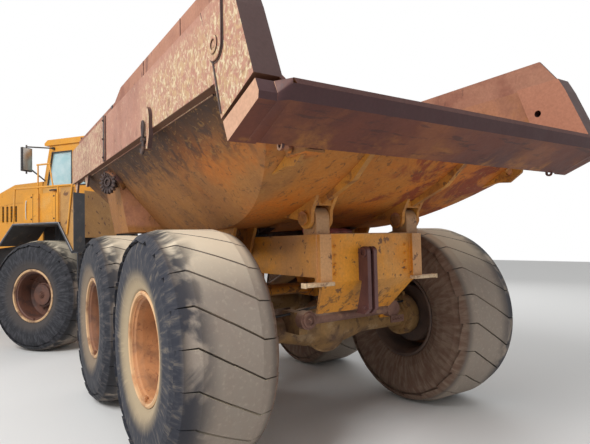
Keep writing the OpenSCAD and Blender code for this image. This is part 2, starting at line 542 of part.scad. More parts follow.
module front_frame() color(yellow) tractor() difference() {
    union() {
        for (z = [[st_z + 200 + gap, st_z + 250], [st_z - 250, st_z - 200 - gap]]) translate([0, 0, z[0]])
            linear_extrude(z[1] - z[0]) union() {
                circle(r = 130);
                polygon([[0, -130], [st_ahead + 60, -380], [st_ahead + 60, 380], [0, 130]]);
            }
        pair() block([st_ahead - 40, 300, st_z - 260], [ff_end, 380, ff_top]);
        block([st_ahead, -310, st_z - 260], [st_ahead + 40, 310, ff_top]);
        block([cab_end + 500, -310, 800], [cab_end + 580, 310, 1150]);
        block([ff_end - 100, -400, 700], [ff_end, 400, ff_top + 50]);
        for (s = [1, -1], z = [60, -80]) translate([st_ahead, 0, st_z + z]) linear_extrude(20)
            polygon([[-70, s * 375], [-70, s * 530], [70, s * 530], [70, s * 375]]);
        // ears of the hood hinge
        pair() side(350, 390) {
            translate(hood_hinge) circle(r = 42);
            polygon([[ff_end - 90, ff_top + 40], [ff_end - 4, ff_top + 40], [ff_end - 4, 1390], [hood_hinge.x + 41, hood_hinge.y - 8],
                [hood_hinge.x - 41, hood_hinge.y - 8]]);
        }
        pair() bar_y(hood_hinge.x, hood_hinge.y, hood_pin_r, 290, 389);
    }
    translate([front_axle_x, 0, 0]) bar_y(0, hub_z, 116, -500, 500);
    translate([front_axle_x, 0, hub_z]) rotate([0, 90, 0]) cylinder(r = 245, h = 420, center = true);
    translate([front_axle_x, 0, hub_z]) rotate([-90, 0, 0]) cylinder(r = 175, h = 800, center = true);
}
module kingpins() color(steel) tractor() for (z = [[st_z + 150, st_z + 255], [st_z - 255, st_z - 150]])
    translate([0, 0, z[0]]) cylinder(r = 50, h = z[1] - z[0]);
module engine() color(dark) tractor() {
    block([cab_end + 250, -290, ff_top + 10], [ff_end - 250, 290, 2300]);
    for (x = [cab_end + 400, ff_end - 500]) block([x, -350, ff_top + e], [x + 120, 350, ff_top + 50]);
}
// fenders over the front wheels, the deck between them on its posts, and the flaps
module fenders() color(dark) tractor() {
    pair() side(fender_y, tractor_w / 2) polygon([[297, 1576], [590, fender_z], [1565, fender_z], [1880, 1720], [1960, 1720],
        [1960, 1690], [1862, 1690], [1552, fender_z - 30], [605, fender_z - 30], [324, 1560]]);
    block([200, -600, deck_z - 35], [cab_end + 20, 600, deck_z]);
    block([300 + e, -fender_y - 1, deck_z - 35], [cab_end + 20, fender_y + 1, deck_z]);
    pair() block([cab_end - 80, hood_w / 2 + 15, deck_z - 35], [cab_end + 100, fender_y + 1, deck_z]);
    pair() side(fender_y - 5, fender_y + 20) polygon([[560, fender_z - 20], [560, deck_z], [1600, deck_z], [1600, fender_z - 20]]);
    for (x = [700, cab_end - 50]) pair() {
        block([x, 385, ff_top + e], [x + 100, 465, deck_z - 30]);
        block([x, 300, ff_top + e], [x + 100, 390, ff_top + 40]);
    }
    // rubber flaps with the black strips above them
    pair() block([205, fender_y + 20, 1150], [219, tractor_w / 2 - 10, 1570]);
    pair() block([205, fender_y + 20, 1556], [320, tractor_w / 2 - 10, 1577]);
    block([285, 1373, 1570], [300, tractor_w / 2 - 20, 2510]);
}
// plates that close the tractor behind the left fender
module rear_screen() color([0.75, 0.62, 0.42]) tractor() {
    block([286, 640, 1800], [300, 1373 - e, 2560]);
    side(tractor_w / 2 - 48, tractor_w / 2 - 28) polygon([[300 + e, 1585], [300 + e, 2600], [566, 2600], [566, 2019]]);
}
module cab() color(yellow) tractor() difference() {
    side(-cab_w / 2, cab_w / 2) cab_outline(0);
    side(-cab_w / 2 + cab_t, cab_w / 2 - cab_t) cab_outline(cab_t);
    // side windows, rear window and windscreen
    side(cab_w / 2 - 100, cab_w / 2 + 100) front_window(0);
    pair() side(cab_w / 2 - 100, cab_w / 2 + 100) rear_window(0);
    block([cab_x - 100, -cab_w / 2 + 140, belt_z + 20], [cab_x + 200, cab_w / 2 - 140, roof_z - 320]);
    block([cab_end - 350, -cab_w / 2 + 110, belt_z + 40], [cab_end + 100, cab_w / 2 - 110, roof_z - 200]);
    // doorway on the right
    side(-cab_w / 2 - 50, -cab_w / 2 + 80) door_outline(5);
}
module cab_outline(d) polygon([[cab_x + d, cab_z + d], [cab_end - d, cab_z + d], [cab_end - 25 - d, belt_z],
    [cab_end - 190 - d, eave_z - d], [cab_x + d, eave_z - d]]);
// roof with its fascia round the eaves
module cab_roof() color(yellow) tractor() side(-cab_w / 2 - 30, cab_w / 2 + 30) polygon([[cab_x - 20, eave_z - 1], [cab_end - 100, eave_z - 1],
    [cab_end - 95, eave_z + 45], [cab_end - 170, roof_z], [cab_x + 30, roof_z], [cab_x - 20, roof_z - 40]]);
// feet of the cab on the deck
module cab_mounts() color(yellow) tractor() for (x = [cab_x + 150, cab_end - 150], y = [-600, 600])
    translate([x, y, deck_z + e]) cylinder(r = 60, h = 30);
// side windows in x and z, drawn in by d
module front_window(d) polygon([[cab_x + 780 + d, belt_z + d], [cab_end - 130 - d, belt_z + d],
    [cab_end - 255 - d, roof_z - 230 - d], [cab_x + 780 + d, roof_z - 230 - d]]);
module rear_window(d) polygon([[cab_x + 100 + d, belt_z + d], [cab_x + 610 - d, belt_z + d],
    [cab_x + 610 - d, roof_z - 230 - d], [cab_x + 100 + d, roof_z - 230 - d]]);
// door outline in x and z, grown by d, and its window, drawn in by d
module door_outline(d) polygon([[cab_x + 645 - d, cab_z + 65 - d], [cab_end - 125 + d, cab_z + 65 - d],
    [cab_end - 135 + d, belt_z], [cab_end - 135 - 140 + d, roof_z - 205 + d], [cab_x + 645 - d, roof_z - 205 + d]]);
module door_window(d) polygon([[cab_x + 720 + d, belt_z + 20 + d], [cab_end - 225 - d, belt_z + 20 + d],
    [cab_end - 345 - d, roof_z - 280 - d], [cab_x + 720 + d, roof_z - 280 - d]]);
// knuckles of the door hinges, d = 0 on the cab and 1 on the door
module hinges(d) for (z = [cab_z + 250, cab_z + 950]) translate([cab_x + 642, -cab_w / 2 - 14, z + d * (50 + e)]) {
    cylinder(r = 12, h = 50);
    block([d > 0 ? 0 : -60, -8, 0], [d > 0 ? 60 : 0, 16, 50]);
}
module cab_glass() color(pane) tractor() {
    side(cab_w / 2 - 30, cab_w / 2 - 24) front_window(e);
    pair() side(cab_w / 2 - 30, cab_w / 2 - 24) rear_window(e);
    block([cab_x + 15, -cab_w / 2 + 140 + e, belt_z + 20 + e], [cab_x + 21, cab_w / 2 - 140 - e, roof_z - 320 - e]);
    // windscreen along the sloping front
    side(-cab_w / 2 + 110 + e, cab_w / 2 - 110 - e) polygon([[cab_end - 50, belt_z + 40 + e], [cab_end - 44, belt_z + 40 + e],
        [cab_end - 178, roof_z - 200 - e], [cab_end - 184, roof_z - 200 - e]]);
}
module cab_door() color(yellow) tractor() difference() {
    side(-cab_w / 2, -cab_w / 2 + cab_t) door_outline(0);
    side(-cab_w / 2 - 10, -cab_w / 2 + 80) door_window(0);
}
module door_glass() color(pane) tractor() side(-cab_w / 2 + 20, -cab_w / 2 + 26) door_window(e);
module cab_seat() color(dark) tractor() {
    side(-250, 250) polygon([[cab_x + 280, cab_z + cab_t + e], [cab_x + 700, cab_z + cab_t + e], [cab_x + 780, cab_z + 440],
        [cab_x + 770, cab_z + 500], [cab_x + 340, cab_z + 480], [cab_x + 300, cab_z + 1080], [cab_x + 220, cab_z + 1100], [cab_x + 250, cab_z + 420]]);
}
// hood that opens forward; its profile in x and z, pulled in by d
module hood_profile(d) polygon([[cab_end + 60 - 3 * d, 1750 - 3 * d], [nose_x - d, 1560 - 3 * d], [nose_x - d, 2330], [nose_x - 150 - d, 2450 - d],
    [2940 - d / 2, 2710 - d], [2550, 2850 - d], [cab_end + 60 - 3 * d, 2870 - d]]);
module hood() color(yellow) tractor() difference() {
    union() {
        difference() {
            side(-hood_w / 2, hood_w / 2) hood_profile(0);
            side(-hood_w / 2 + hood_t, hood_w / 2 - hood_t) hood_profile(hood_t);
            block([nose_x - 100, -500, 1640], [nose_x + 50, 500, 2270]);
            // louvres in the sides
            for (i = [0:5]) side(-hood_w, hood_w) translate([2500 + i * 110, 2150]) square([55, 300]);
        }
        // knuckles of the hood hinge
        pair() side(298, 340) {
            translate(hood_hinge) circle(r = 42);
            polygon([[hood_hinge.x - 38, hood_hinge.y + 18], [hood_hinge.x + 30, hood_hinge.y - 30], [nose_x - 4, 1580], [nose_x - 4, 1612]]);
        }
    }
    bar_y(hood_hinge.x, hood_hinge.y, hood_pin_r + fit, -600, 600);
}
module grille() color(dark) tractor() for (i = [0:7]) block([nose_x - 25, -500 + e, 1660 + i * 78], [nose_x - 5, 500 - e, 1690 + i * 78]);
module bumper() color(dark) tractor() difference() {
    side(-1250, 1250) polygon([[ff_end + e, 900], [nose_x + 30, 860], [nose_x + 60, 920], [nose_x + 60, 1340], [nose_x + 20, 1380], [ff_end + e, 1380]]);
    block([ff_end + 60, -1210, 800], [nose_x + 20, -450, 1330]);
    block([ff_end + 60, 450, 800], [nose_x + 20, 1210, 1330]);
}
module head_lamps() color([0.9, 0.9, 0.85]) tractor() pair() for (y = [760, 960])
    translate([nose_x + 60 + e, y, 1180]) rotate([0, 90, 0]) cylinder(r = 80, h = 18);
// tank with cut corners, straps and filler
module side_tank() color(yellow) tractor() {
    z = fender_z + e; c = 60;
    side(1190, tractor_w / 2 - 56) polygon([[580, z], [1350, z], [1380, z + 40], [1380, 2530 - c], [1380 - c, 2530], [550 + c, 2530],
        [550, 2530 - c], [550, fender_z - 20 + 2 * e], [570, z]]);
    for (x = [700, 1180]) side(1184, tractor_w / 2 - 50) polygon([[x, z], [x + 50, z], [x + 50, 2536], [x, 2536]]);
    translate([820, 1480, 2520]) cylinder(r = 60, h = 50);
}
// ladder ahead of the right front wheel, on a bracket from the frame
module steps() color(dark) tractor() {
    for (x = [2040, 2420]) block([x, -1560, 430], [x + 20, -1280, 1720]);
    for (z = [440, 760, 1080, 1400, 1700]) block([2055, -1560, z], [2425, -1300, z + 20]);
    block([2100, -1300, 1080], [2380, -380 - e, 1180]);
    block([2055, -1285, 1080], [2425, -1270, 1420]);
}
// rails along the fenders with a hoop beside the cab
module hand_rails() color(yellow) tractor() pair() {
    y = tractor_w / 2 - 10; z = 2630;
    bar([290, y, z], [1536, y, z], 16);
    bar([1522, y, z], [1560, y, fender_z + e + 4], 14);
    bar([600, y, fender_z + e], [600, y, z], 14);
    bar([310, y, z], [420, y, fender_z - 200], 14);
    bar([1040, y - 22, fender_z + e], [1040, y - 22, 3000], 12);
    bar([1060, y - 22, 3000], [780, y - 22, 3000], 14);
    bar([800, y - 22, 3000], [700, y, z], 12);
}
module exhaust() color(dark) tractor() translate([cab_end + 30, -cab_w / 2 - 58, deck_z + e]) rotate_extrude($fn = 36)
    polygon([[0, 0], [40, 0], [40, 160], [58, 190], [58, 900], [40, 940], [40, 1380], [32, 1380], [32, 1000], [0, 1000]]);
module mirrors() color(dark) tractor() pair() {
    y = cab_w / 2 + e;
    bar([cab_end - 300, y + 30, eave_z - 60], [cab_end - 130, y + 440, eave_z - 90], 12);
    bar([cab_end - 85, y + 10, belt_z + 120], [cab_end - 130, y + 440, eave_z - 420], 12);
    bar([cab_end - 130, y + 440, eave_z - 60], [cab_end - 130, y + 440, eave_z - 560], 14);
    block([cab_end - 150, y + 340, eave_z - 520], [cab_end - 110, y + 540, eave_z - 110]);
    block([cab_end - 320, y, eave_z - 80], [cab_end - 280, y + 45, eave_z - 40]);
}

rear_frame();
union() { frame_neck(); bogie_legs(); hoist_hangers(); color(yellow) rod_hangers(); }
tow_plates();
hitch_yoke();
rear_axles();
bogie_beams();
axle_rods();
safety_prop();
bed_floor();
bed_chute();
bed_front();
bed_sides();
bed_ears();
bed_rails();
side_ribs();
spill_guards();
tail_beam();
hoist_barrel(1);  // hoist_barrel_left
hoist_barrel(-1);  // hoist_barrel_right
hoist_rod(1);  // hoist_rod_left
hoist_rod(-1);  // hoist_rod_right
steer_barrel(1);  // steer_barrel_left
steer_barrel(-1);  // steer_barrel_right
steer_rod(1);  // steer_rod_left
steer_rod(-1);  // steer_rod_right
union() { front_frame(); kingpins(); }
front_axle();
engine();
fenders();
rear_screen();
union() { cab(); cab_roof(); cab_mounts(); color(yellow) tractor() hinges(0); }
cab_glass();
union() { cab_door(); color(yellow) tractor() hinges(1); }
door_glass();
cab_seat();
hood();
grille();
bumper();
head_lamps();
side_tank();
steps();
hand_rails();
exhaust();
mirrors();
front_wheel_at(1) tyre();  // tyre_front_left
front_wheel_at(-1) tyre();  // tyre_front_right
wheel_at(bogie_base, 1) tyre();  // tyre_mid_left
wheel_at(bogie_base, -1) tyre();  // tyre_mid_right
wheel_at(0, 1) tyre();  // tyre_rear_left
wheel_at(0, -1) tyre();  // tyre_rear_right
front_wheel_at(1) rim();  // rim_front_left
front_wheel_at(-1) rim();  // rim_front_right
wheel_at(bogie_base, 1) rim();  // rim_mid_left
wheel_at(bogie_base, -1) rim();  // rim_mid_right
wheel_at(0, 1) rim();  // rim_rear_left
wheel_at(0, -1) rim();  // rim_rear_right
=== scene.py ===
"""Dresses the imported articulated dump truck: a finish on every part, small fittings, studio and camera."""

from __future__ import annotations

import json
import logging
import math
from dataclasses import dataclass, field, replace
from enum import Enum

import bpy
from mathutils import Matrix, Vector

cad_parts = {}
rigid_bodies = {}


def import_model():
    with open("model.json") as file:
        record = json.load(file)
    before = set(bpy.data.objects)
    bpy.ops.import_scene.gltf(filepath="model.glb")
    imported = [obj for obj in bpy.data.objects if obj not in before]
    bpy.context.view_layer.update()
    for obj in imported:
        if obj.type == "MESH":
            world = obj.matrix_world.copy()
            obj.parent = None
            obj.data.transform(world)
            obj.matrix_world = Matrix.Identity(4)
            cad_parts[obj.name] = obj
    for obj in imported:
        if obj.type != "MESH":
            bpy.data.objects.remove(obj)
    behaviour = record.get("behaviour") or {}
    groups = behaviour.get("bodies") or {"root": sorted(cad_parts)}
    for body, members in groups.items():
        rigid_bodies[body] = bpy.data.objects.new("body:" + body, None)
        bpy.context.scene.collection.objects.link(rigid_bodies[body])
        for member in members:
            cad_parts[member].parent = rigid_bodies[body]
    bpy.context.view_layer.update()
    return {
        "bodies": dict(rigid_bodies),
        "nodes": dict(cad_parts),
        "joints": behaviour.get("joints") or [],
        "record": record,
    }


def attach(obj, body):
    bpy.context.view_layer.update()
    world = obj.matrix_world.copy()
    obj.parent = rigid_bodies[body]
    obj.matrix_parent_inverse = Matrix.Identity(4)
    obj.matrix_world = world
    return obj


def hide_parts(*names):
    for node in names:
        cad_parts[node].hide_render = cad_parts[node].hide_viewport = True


LOG = logging.getLogger("dump_truck")
# Places are drawn from the ground under the middle of the rear axle. ORIGIN is the model's own middle there.
ORIGIN = Vector((3.76431, 0.898404, 0.0))
PIVOT_X = 5.290
HALF_TRACK = 1.318
HUB_Z = 0.885
FRONT_AXLE = 1.100
MID_AXLE = 1.940
PHOTO_WIDTH = 590.0
MIRROR = Matrix.Scale(-1, 4, (0, 1, 0))
Colour = tuple[float, float, float]
Point = tuple[float, float, float]


def srgb(red: int, green: int, blue: int) -> Colour:
    """Turns a screen colour into the linear one that shaders take.

    Args:
        red: red from 0 to 255.
        green: green from 0 to 255.
        blue: blue from 0 to 255.

    Returns:
        The linear colour.
    """
    out = []
    for value in (red, green, blue):
        share = value / 255
        out.append(share / 12.92 if share <= 0.04045 else ((share + 0.055) / 1.055) ** 2.4)
    return (out[0], out[1], out[2])


class Space(Enum):
    """Which way a pattern or piece lies: along the rear frame or along the turned tractor."""

    REAR = 0.0
    TRACTOR = 37.0

    def matrix(self) -> Matrix:
        """Gives the matrix from this space to the model's frame."""
        start = Vector((PIVOT_X, 0, 0)) if self is Space.TRACTOR else Vector((0, 0, 0))
        return Matrix.Translation(start - ORIGIN) @ Matrix.Rotation(math.radians(self.value), 4, "Z")


class Along(Enum):
    """What a layer of a finish can depend on: a place, or the way a face looks."""

    X = "x"
    Y = "y"
    Z = "z"
    SIDE = "side"
    UP = "up"
    DOWN = "down"
    BACK = "back"
    OUT = "out"


class Slot(Enum):
    """The record's material slots that new pieces use."""

    BEIGE = "beige"
    BLACK = "black"
    DARK = "dark"
    FADED = "faded"
    GLASS = "glass"
    IRON = "iron"
    RIM = "rim"
    RUST = "rust"
    SEAT = "seat"
    YELLOW = "yellow"


class Graph:
    """A small helper that adds and links shader nodes."""

    def __init__(self, name: str, space: Space, centre: Point | None = None) -> None:
        """Starts a material with its shader and a turned object coordinate.

        Args:
            name: name of the material.
            space: which way the pattern lies.
            centre: where the pattern's middle is, in the model's frame; the space's own start if left out.
        """
        self.material = bpy.data.materials.new(name)
        self.material.use_nodes = True
        self.tree = self.material.node_tree
        self.shader = self.tree.nodes["Principled BSDF"]
        coordinate = self.tree.nodes.new("ShaderNodeTexCoord")
        mapping = self.tree.nodes.new("ShaderNodeMapping")
        mapping.vector_type = "TEXTURE"
        mapping.inputs["Rotation"].default_value = (0, 0, math.radians(space.value))
        mapping.inputs["Location"].default_value = Vector(centre) if centre else space.matrix().translation
        self.tree.links.new(coordinate.outputs["Object"], mapping.inputs["Vector"])
        self.place = mapping.outputs["Vector"]
        facing = self.tree.nodes.new("ShaderNodeMapping")
        facing.vector_type = "TEXTURE"
        facing.inputs["Rotation"].default_value = (0, 0, math.radians(space.value))
        self.tree.links.new(coordinate.outputs["Normal"], facing.inputs["Vector"])
        self._spot = self._split(self.place)
        self._look = self._split(facing.outputs["Vector"])

    def _split(self, vector: bpy.types.NodeSocket) -> bpy.types.Node:
        """Splits a vector into its three numbers.

        Args:
            vector: the vector's socket.

        Returns:
            The node with the outputs X, Y and Z.
        """
        node = self.tree.nodes.new("ShaderNodeSeparateXYZ")
        self.tree.links.new(vector, node.inputs[0])
        return node

    def add(self, kind: str, **values: object) -> bpy.types.Node:
        """Adds a node and sets its properties.

        Args:
            kind: the node's type.
            values: its properties.

        Returns:
            The new node.
        """
        node = self.tree.nodes.new(kind)
        for key, value in values.items():
            setattr(node, key, value)
        return node

    def link(self, source: bpy.types.NodeSocket, target: bpy.types.NodeSocket) -> None:
        """Links two sockets."""
        self.tree.links.new(source, target)

    def measure(self, along: Along) -> bpy.types.NodeSocket:
        """Gives the value that a gate reads.

        Args:
            along: what to measure.

        Returns:
            The value socket.
        """
        if along in (Along.X, Along.Y, Along.Z):
            return self._spot.outputs[along.value.upper()]
        if along is Along.SIDE:
            return self.math("ABSOLUTE", self._spot.outputs["Y"], 0.0)
        if along is Along.UP:
            return self._look.outputs["Z"]
        if along is Along.DOWN:
            return self.math("MULTIPLY", self._look.outputs["Z"], -1.0)
        if along is Along.BACK:
            return self.math("MULTIPLY", self._look.outputs["X"], -1.0)
        return self.math("MULTIPLY", self._look.outputs["Y"], self.math("SIGN", self._spot.outputs["Y"], 0.0))

    def radius(self) -> bpy.types.NodeSocket:
        """Gives the distance from the y axis, which is the axle where a pattern is centred on a hub.

        Returns:
            The value socket.
        """
        squares = [self.math("POWER", self.math("ABSOLUTE", self.measure(along), 0.0), 2.0)
                   for along in (Along.X, Along.Z)]
        return self.math("SQRT", self.math("ADD", *squares), 0.0)

    def noise(self, scale: float, detail: float = 4.0, stretch: Point = (1, 1, 1), rough: float = 0.55,
              warp: float = 0.0, vector: bpy.types.NodeSocket | None = None) -> bpy.types.NodeSocket:
        """A noise value from 0 to 1.

        Args:
            scale: how many blotches a metre holds.
            detail: octaves of the noise.
            stretch: how the pattern is scaled along x, y and z.
            rough: roughness of the noise.
            warp: distortion.
            vector: where to read it; the object's place if left out.

        Returns:
            The value socket.
        """
        mapping = self.add("ShaderNodeMapping")
        mapping.inputs["Scale"].default_value = stretch
        self.link(vector or self.place, mapping.inputs["Vector"])
        node = self.add("ShaderNodeTexNoise")
        node.inputs["Scale"].default_value = scale
        node.inputs["Detail"].default_value = detail
        node.inputs["Roughness"].default_value = rough
        node.inputs["Distortion"].default_value = warp
        self.link(mapping.outputs["Vector"], node.inputs["Vector"])
        return node.outputs["Fac"]

    def ramp(self, source: bpy.types.NodeSocket, low: float, high: float) -> bpy.types.NodeSocket:
        """Stretches a value so that low becomes 0 and high becomes 1, smoothly; low may be the larger.

        Args:
            source: the value.
            low: what becomes 0.
            high: what becomes 1.

        Returns:
            The new value.
        """
        node = self.add("ShaderNodeMapRange", interpolation_type="SMOOTHSTEP")
        node.inputs["From Min"].default_value = low
        node.inputs["From Max"].default_value = high
        self.link(source, node.inputs["Value"])
        return node.outputs["Result"]

    def math(self, kind: str, first: bpy.types.NodeSocket | float,
             second: bpy.types.NodeSocket | float) -> bpy.types.NodeSocket:
        """A sum, product or other operation on two values.

        Args:
            kind: the operation.
            first: a socket or number.
            second: a socket or number.

        Returns:
            The result.
        """
        node = self.add("ShaderNodeMath", operation=kind)
        for index, value in enumerate((first, second)):
            if isinstance(value, (int, float)):
                node.inputs[index].default_value = value
            else:
                self.link(value, node.inputs[index])
        return node.outputs[0]

    def mix(self, share: bpy.types.NodeSocket, first: bpy.types.NodeSocket | Colour,
            second: bpy.types.NodeSocket | Colour) -> bpy.types.NodeSocket:
        """Mixes two colours.

        Args:
            share: how much of the second.
            first: a socket or colour.
            second: a socket or colour.

        Returns:
            The mixed colour.
        """
        node = self.add("ShaderNodeMix", data_type="RGBA")
        self.link(share, node.inputs["Factor"])
        for name, value in (("A", first), ("B", second)):
            socket = [s for s in node.inputs if s.name == name and s.type == "RGBA"][0]
            if isinstance(value, tuple):
                socket.default_value = (*value, 1.0)
            else:
                self.link(value, socket)
        return [s for s in node.outputs if s.type == "RGBA"][0]

    def bump(self, height: bpy.types.NodeSocket, depth: float) -> None:
        """Gives the shader a relief.

        Args:
            height: the relief, 0 to 1.
            depth: its height in metres.
        """
        node = self.add("ShaderNodeBump")
        node.inputs["Strength"].default_value = 1.0
        node.inputs["Distance"].default_value = depth
        self.link(height, node.inputs["Height"])
        self.link(node.outputs["Normal"], self.shader.inputs["Normal"])


@dataclass(frozen=True)
class Layer:
    """Patches of one colour over those below: noise between two levels, held in by gates."""

    colour: Colour
    scale: float
    low: float = 0.45
    high: float = 0.6
    share: float = 1.0
    stretch: Point = (1, 1, 1)
    detail: float = 6.0
    warp: float = 0.3
    gates: tuple[tuple[Along, float, float], ...] = ()

    def mask(self, graph: Graph) -> bpy.types.NodeSocket:
        """Gives how much the layer covers.

        Args:
            graph: the material's nodes.

        Returns:
            A value from 0 to 1.
        """
        value: bpy.types.NodeSocket | float = self.share
        if self.scale > 0:
            blotches = graph.noise(self.scale, self.detail, self.stretch, 0.6, self.warp)
            value = graph.math("MULTIPLY", graph.ramp(blotches, self.low, self.high), self.share)
        for along, low, high in self.gates:
            value = graph.math("MULTIPLY", graph.ramp(graph.measure(along), low, high), value)
        if isinstance(value, float):
            value = graph.math("ADD", value, 0.0)
        return value


@dataclass(frozen=True)
class Coat:
    """Weathered paint or bare plate, built up from a base colour and layers; some layers are painted shade on
    faces that look back or down.
    """

    name: str
    base: Colour
    layers: tuple[Layer, ...]
    rough: float = 0.6
    metal: float = 0.0
    grain: float = 30.0
    depth: float = 0.0012
    space: Space = Space.REAR

    def build(self) -> bpy.types.Material:
        """Builds the material.

        Returns:
            The material.
        """
        graph = Graph(self.name, self.space)
        colour: bpy.types.NodeSocket | Colour = self.base
        for layer in self.layers:
            colour = graph.mix(layer.mask(graph), colour, layer.colour)
        shade = graph.ramp(graph.noise(self.grain * 1.7, 6), 0.1, 0.9)
        dim = graph.add("ShaderNodeMix", data_type="RGBA", blend_type="MULTIPLY")
        dim.inputs["Factor"].default_value = 1.0
        sockets = [s for s in dim.inputs if s.type == "RGBA"]
        graph.link(colour, sockets[0])
        graph.link(graph.mix(shade, (0.80, 0.78, 0.76), (1.08, 1.08, 1.08)), sockets[1])
        graph.link([s for s in dim.outputs if s.type == "RGBA"][0], graph.shader.inputs["Base Color"])
        graph.shader.inputs["Metallic"].default_value = self.metal
        rough = graph.math("ADD", graph.math("MULTIPLY", graph.noise(6.0, 5), 0.3), self.rough - 0.15)
        graph.link(rough, graph.shader.inputs["Roughness"])
        graph.bump(graph.noise(self.grain, 7), self.depth)
        return graph.material


@dataclass(frozen=True)
class Glass:
    """Clear tinted glass with a dusty haze."""

    name: str
    tint: Colour
    space: Space = Space.TRACTOR

    def build(self) -> bpy.types.Material:
        """Builds the material.

        Returns:
            The material.
        """
        graph = Graph(self.name, self.space)
        haze = graph.ramp(graph.noise(5.0, 4), 0.2, 0.9)
        graph.link(graph.mix(haze, self.tint, (0.80, 0.93, 0.95)), graph.shader.inputs["Base Color"])
        graph.link(graph.math("ADD", graph.math("MULTIPLY", haze, 0.15), 0.45), graph.shader.inputs["Alpha"])
        graph.shader.inputs["Roughness"].default_value = 0.08
        return graph.material


@dataclass(frozen=True)
class TyreSkin:
    """Worn rubber about a wheel's axis: dusty lug tops with a painted highlight where they face up, dark
    grooves and shoulders, streaked side walls.
    """

    name: str
    hub: Point
    space: Space
    outward: int
    dust: Colour = srgb(150, 138, 126)
    groove: Colour = srgb(104, 94, 86)
    bare: Colour = srgb(38, 40, 50)
    ring: Colour = srgb(168, 150, 122)
    inner: Colour = srgb(106, 80, 66)
    lug_foot: float = 0.855
    lug_top: float = 0.874

    def build(self) -> bpy.types.Material:
        """Builds the material.

        Returns:
            The material.
        """
        graph = Graph(self.name, self.space, self.hub)
        spot = graph.measure
        radius = graph.radius()
        angle = graph.math("ARCTAN2", spot(Along.Z), spot(Along.X))
        out = graph.math("MULTIPLY", spot(Along.Y), float(self.outward))
        polar = graph.add("ShaderNodeCombineXYZ")
        graph.link(graph.math("MULTIPLY", angle, 3.0), polar.inputs[0])
        graph.link(graph.math("MULTIPLY", radius, 1.2), polar.inputs[1])
        graph.link(out, polar.inputs[2])
        streak = graph.noise(6.0, 8, (1, 1, 1), 0.65, 0.4, polar.outputs[0])
        blotch = graph.noise(4.0, 6, (1, 1, 1), 0.6, 0.5)
        fine = graph.noise(34.0, 6)
        # Tread: dusty lug tops with a painted highlight where they face up, and bare rubber towards the outer
        # shoulder.
        top = graph.mix(graph.ramp(blotch, 0.35, 0.7), self.dust, srgb(148, 134, 122))
        top = graph.mix(graph.math("MULTIPLY", graph.ramp(fine, 0.52, 0.72), 0.35), top, srgb(186, 172, 154))
        # Painted highlight: the tread is paler where it faces up.
        painted_top_highlight = graph.math("MULTIPLY", graph.ramp(spot(Along.UP), 0.45, 0.95), 0.9)
        top = graph.mix(painted_top_highlight, top, srgb(236, 222, 196))
        tread = graph.mix(graph.ramp(radius, self.lug_foot, self.lug_top), self.groove, top)
        patches = graph.ramp(graph.noise(3.2, 5, (1, 0.8, 1), 0.5, 0.8), 0.40, 0.54)
        scuff = graph.math("MULTIPLY", graph.ramp(out, 0.06, 0.28), patches)
        tread = graph.mix(graph.math("MULTIPLY", scuff, 0.94), tread, self.bare)
        # Outer wall: dark, with a tan ring of dust next to the rim and streaks through it.
        wall = graph.mix(graph.ramp(streak, 0.40, 0.66), self.bare, srgb(62, 62, 68))
        veins = graph.math("MULTIPLY", graph.ramp(streak, 0.50, 0.72), 0.26)
        dusty = graph.math("ADD", graph.ramp(radius, 0.62, 0.46), veins)
        wall = graph.mix(graph.math("MINIMUM", dusty, 1.0), wall, self.ring)
        back = graph.mix(graph.ramp(streak, 0.35, 0.7), self.inner, srgb(136, 116, 100))
        side = graph.mix(graph.ramp(out, -0.05, 0.05), back, wall)
        within = graph.ramp(graph.math("ABSOLUTE", out, 0.0), 0.345, 0.30)
        on_tread = graph.math("MULTIPLY", within, graph.ramp(radius, 0.72, 0.80))
        graph.link(graph.mix(on_tread, side, tread), graph.shader.inputs["Base Color"])
        graph.shader.inputs["Roughness"].default_value = 0.85
        relief = graph.math("ADD", graph.math("MULTIPLY", fine, 0.5), graph.math("MULTIPLY", blotch, 0.5))
        graph.bump(relief, 0.004)
        return graph.material


@dataclass(frozen=True)
class RimPaint:
    """Orange rim paint about a wheel's axis, worn pale on the flange and rusty in the dish."""

    name: str
    hub: Point
    space: Space
    outward: int
    paint: Colour = srgb(192, 134, 88)
    worn: Colour = srgb(150, 106, 74)

    def build(self) -> bpy.types.Material:
        """Builds the material.

        Returns:
            The material.
        """
        graph = Graph(self.name, self.space, self.hub)
        spot = graph.measure
        radius = graph.radius()
        out = graph.math("MULTIPLY", spot(Along.Y), float(self.outward))
        blotch = graph.noise(5.0, 7, (1, 1, 1), 0.65, 0.5)
        paint = graph.mix(graph.ramp(blotch, 0.38, 0.68), self.paint, self.worn)
        rust = graph.ramp(graph.noise(14.0, 8, (1, 1, 1), 0.7, 0.6), 0.55, 0.66)
        paint = graph.mix(graph.math("MULTIPLY", rust, 0.7), paint, srgb(122, 74, 54))
        chips = graph.ramp(graph.noise(7.0, 6), 0.30, 0.55)
        pale = graph.math("MULTIPLY", graph.ramp(radius, 0.385, 0.400), chips)
        paint = graph.mix(graph.math("MULTIPLY", pale, 0.8), paint, srgb(222, 182, 136))
        back = graph.mix(graph.ramp(blotch, 0.35, 0.7), srgb(104, 82, 70), srgb(76, 64, 60))
        graph.link(graph.mix(graph.ramp(out, -0.02, -0.10), paint, back), graph.shader.inputs["Base Color"])
        graph.shader.inputs["Roughness"].default_value = 0.62
        graph.bump(graph.noise(40.0, 6), 0.0012)
        return graph.material


FLECK = Layer(srgb(98, 66, 50), 13.0, 0.60, 0.66, 0.85)
GRIME = Layer(srgb(92, 70, 56), 1.6, 0.50, 0.75, 0.55)
UPPER_DUST = Layer(srgb(172, 152, 130), 3.0, 0.25, 0.6, 0.6, gates=((Along.UP, 0.4, 0.9),))

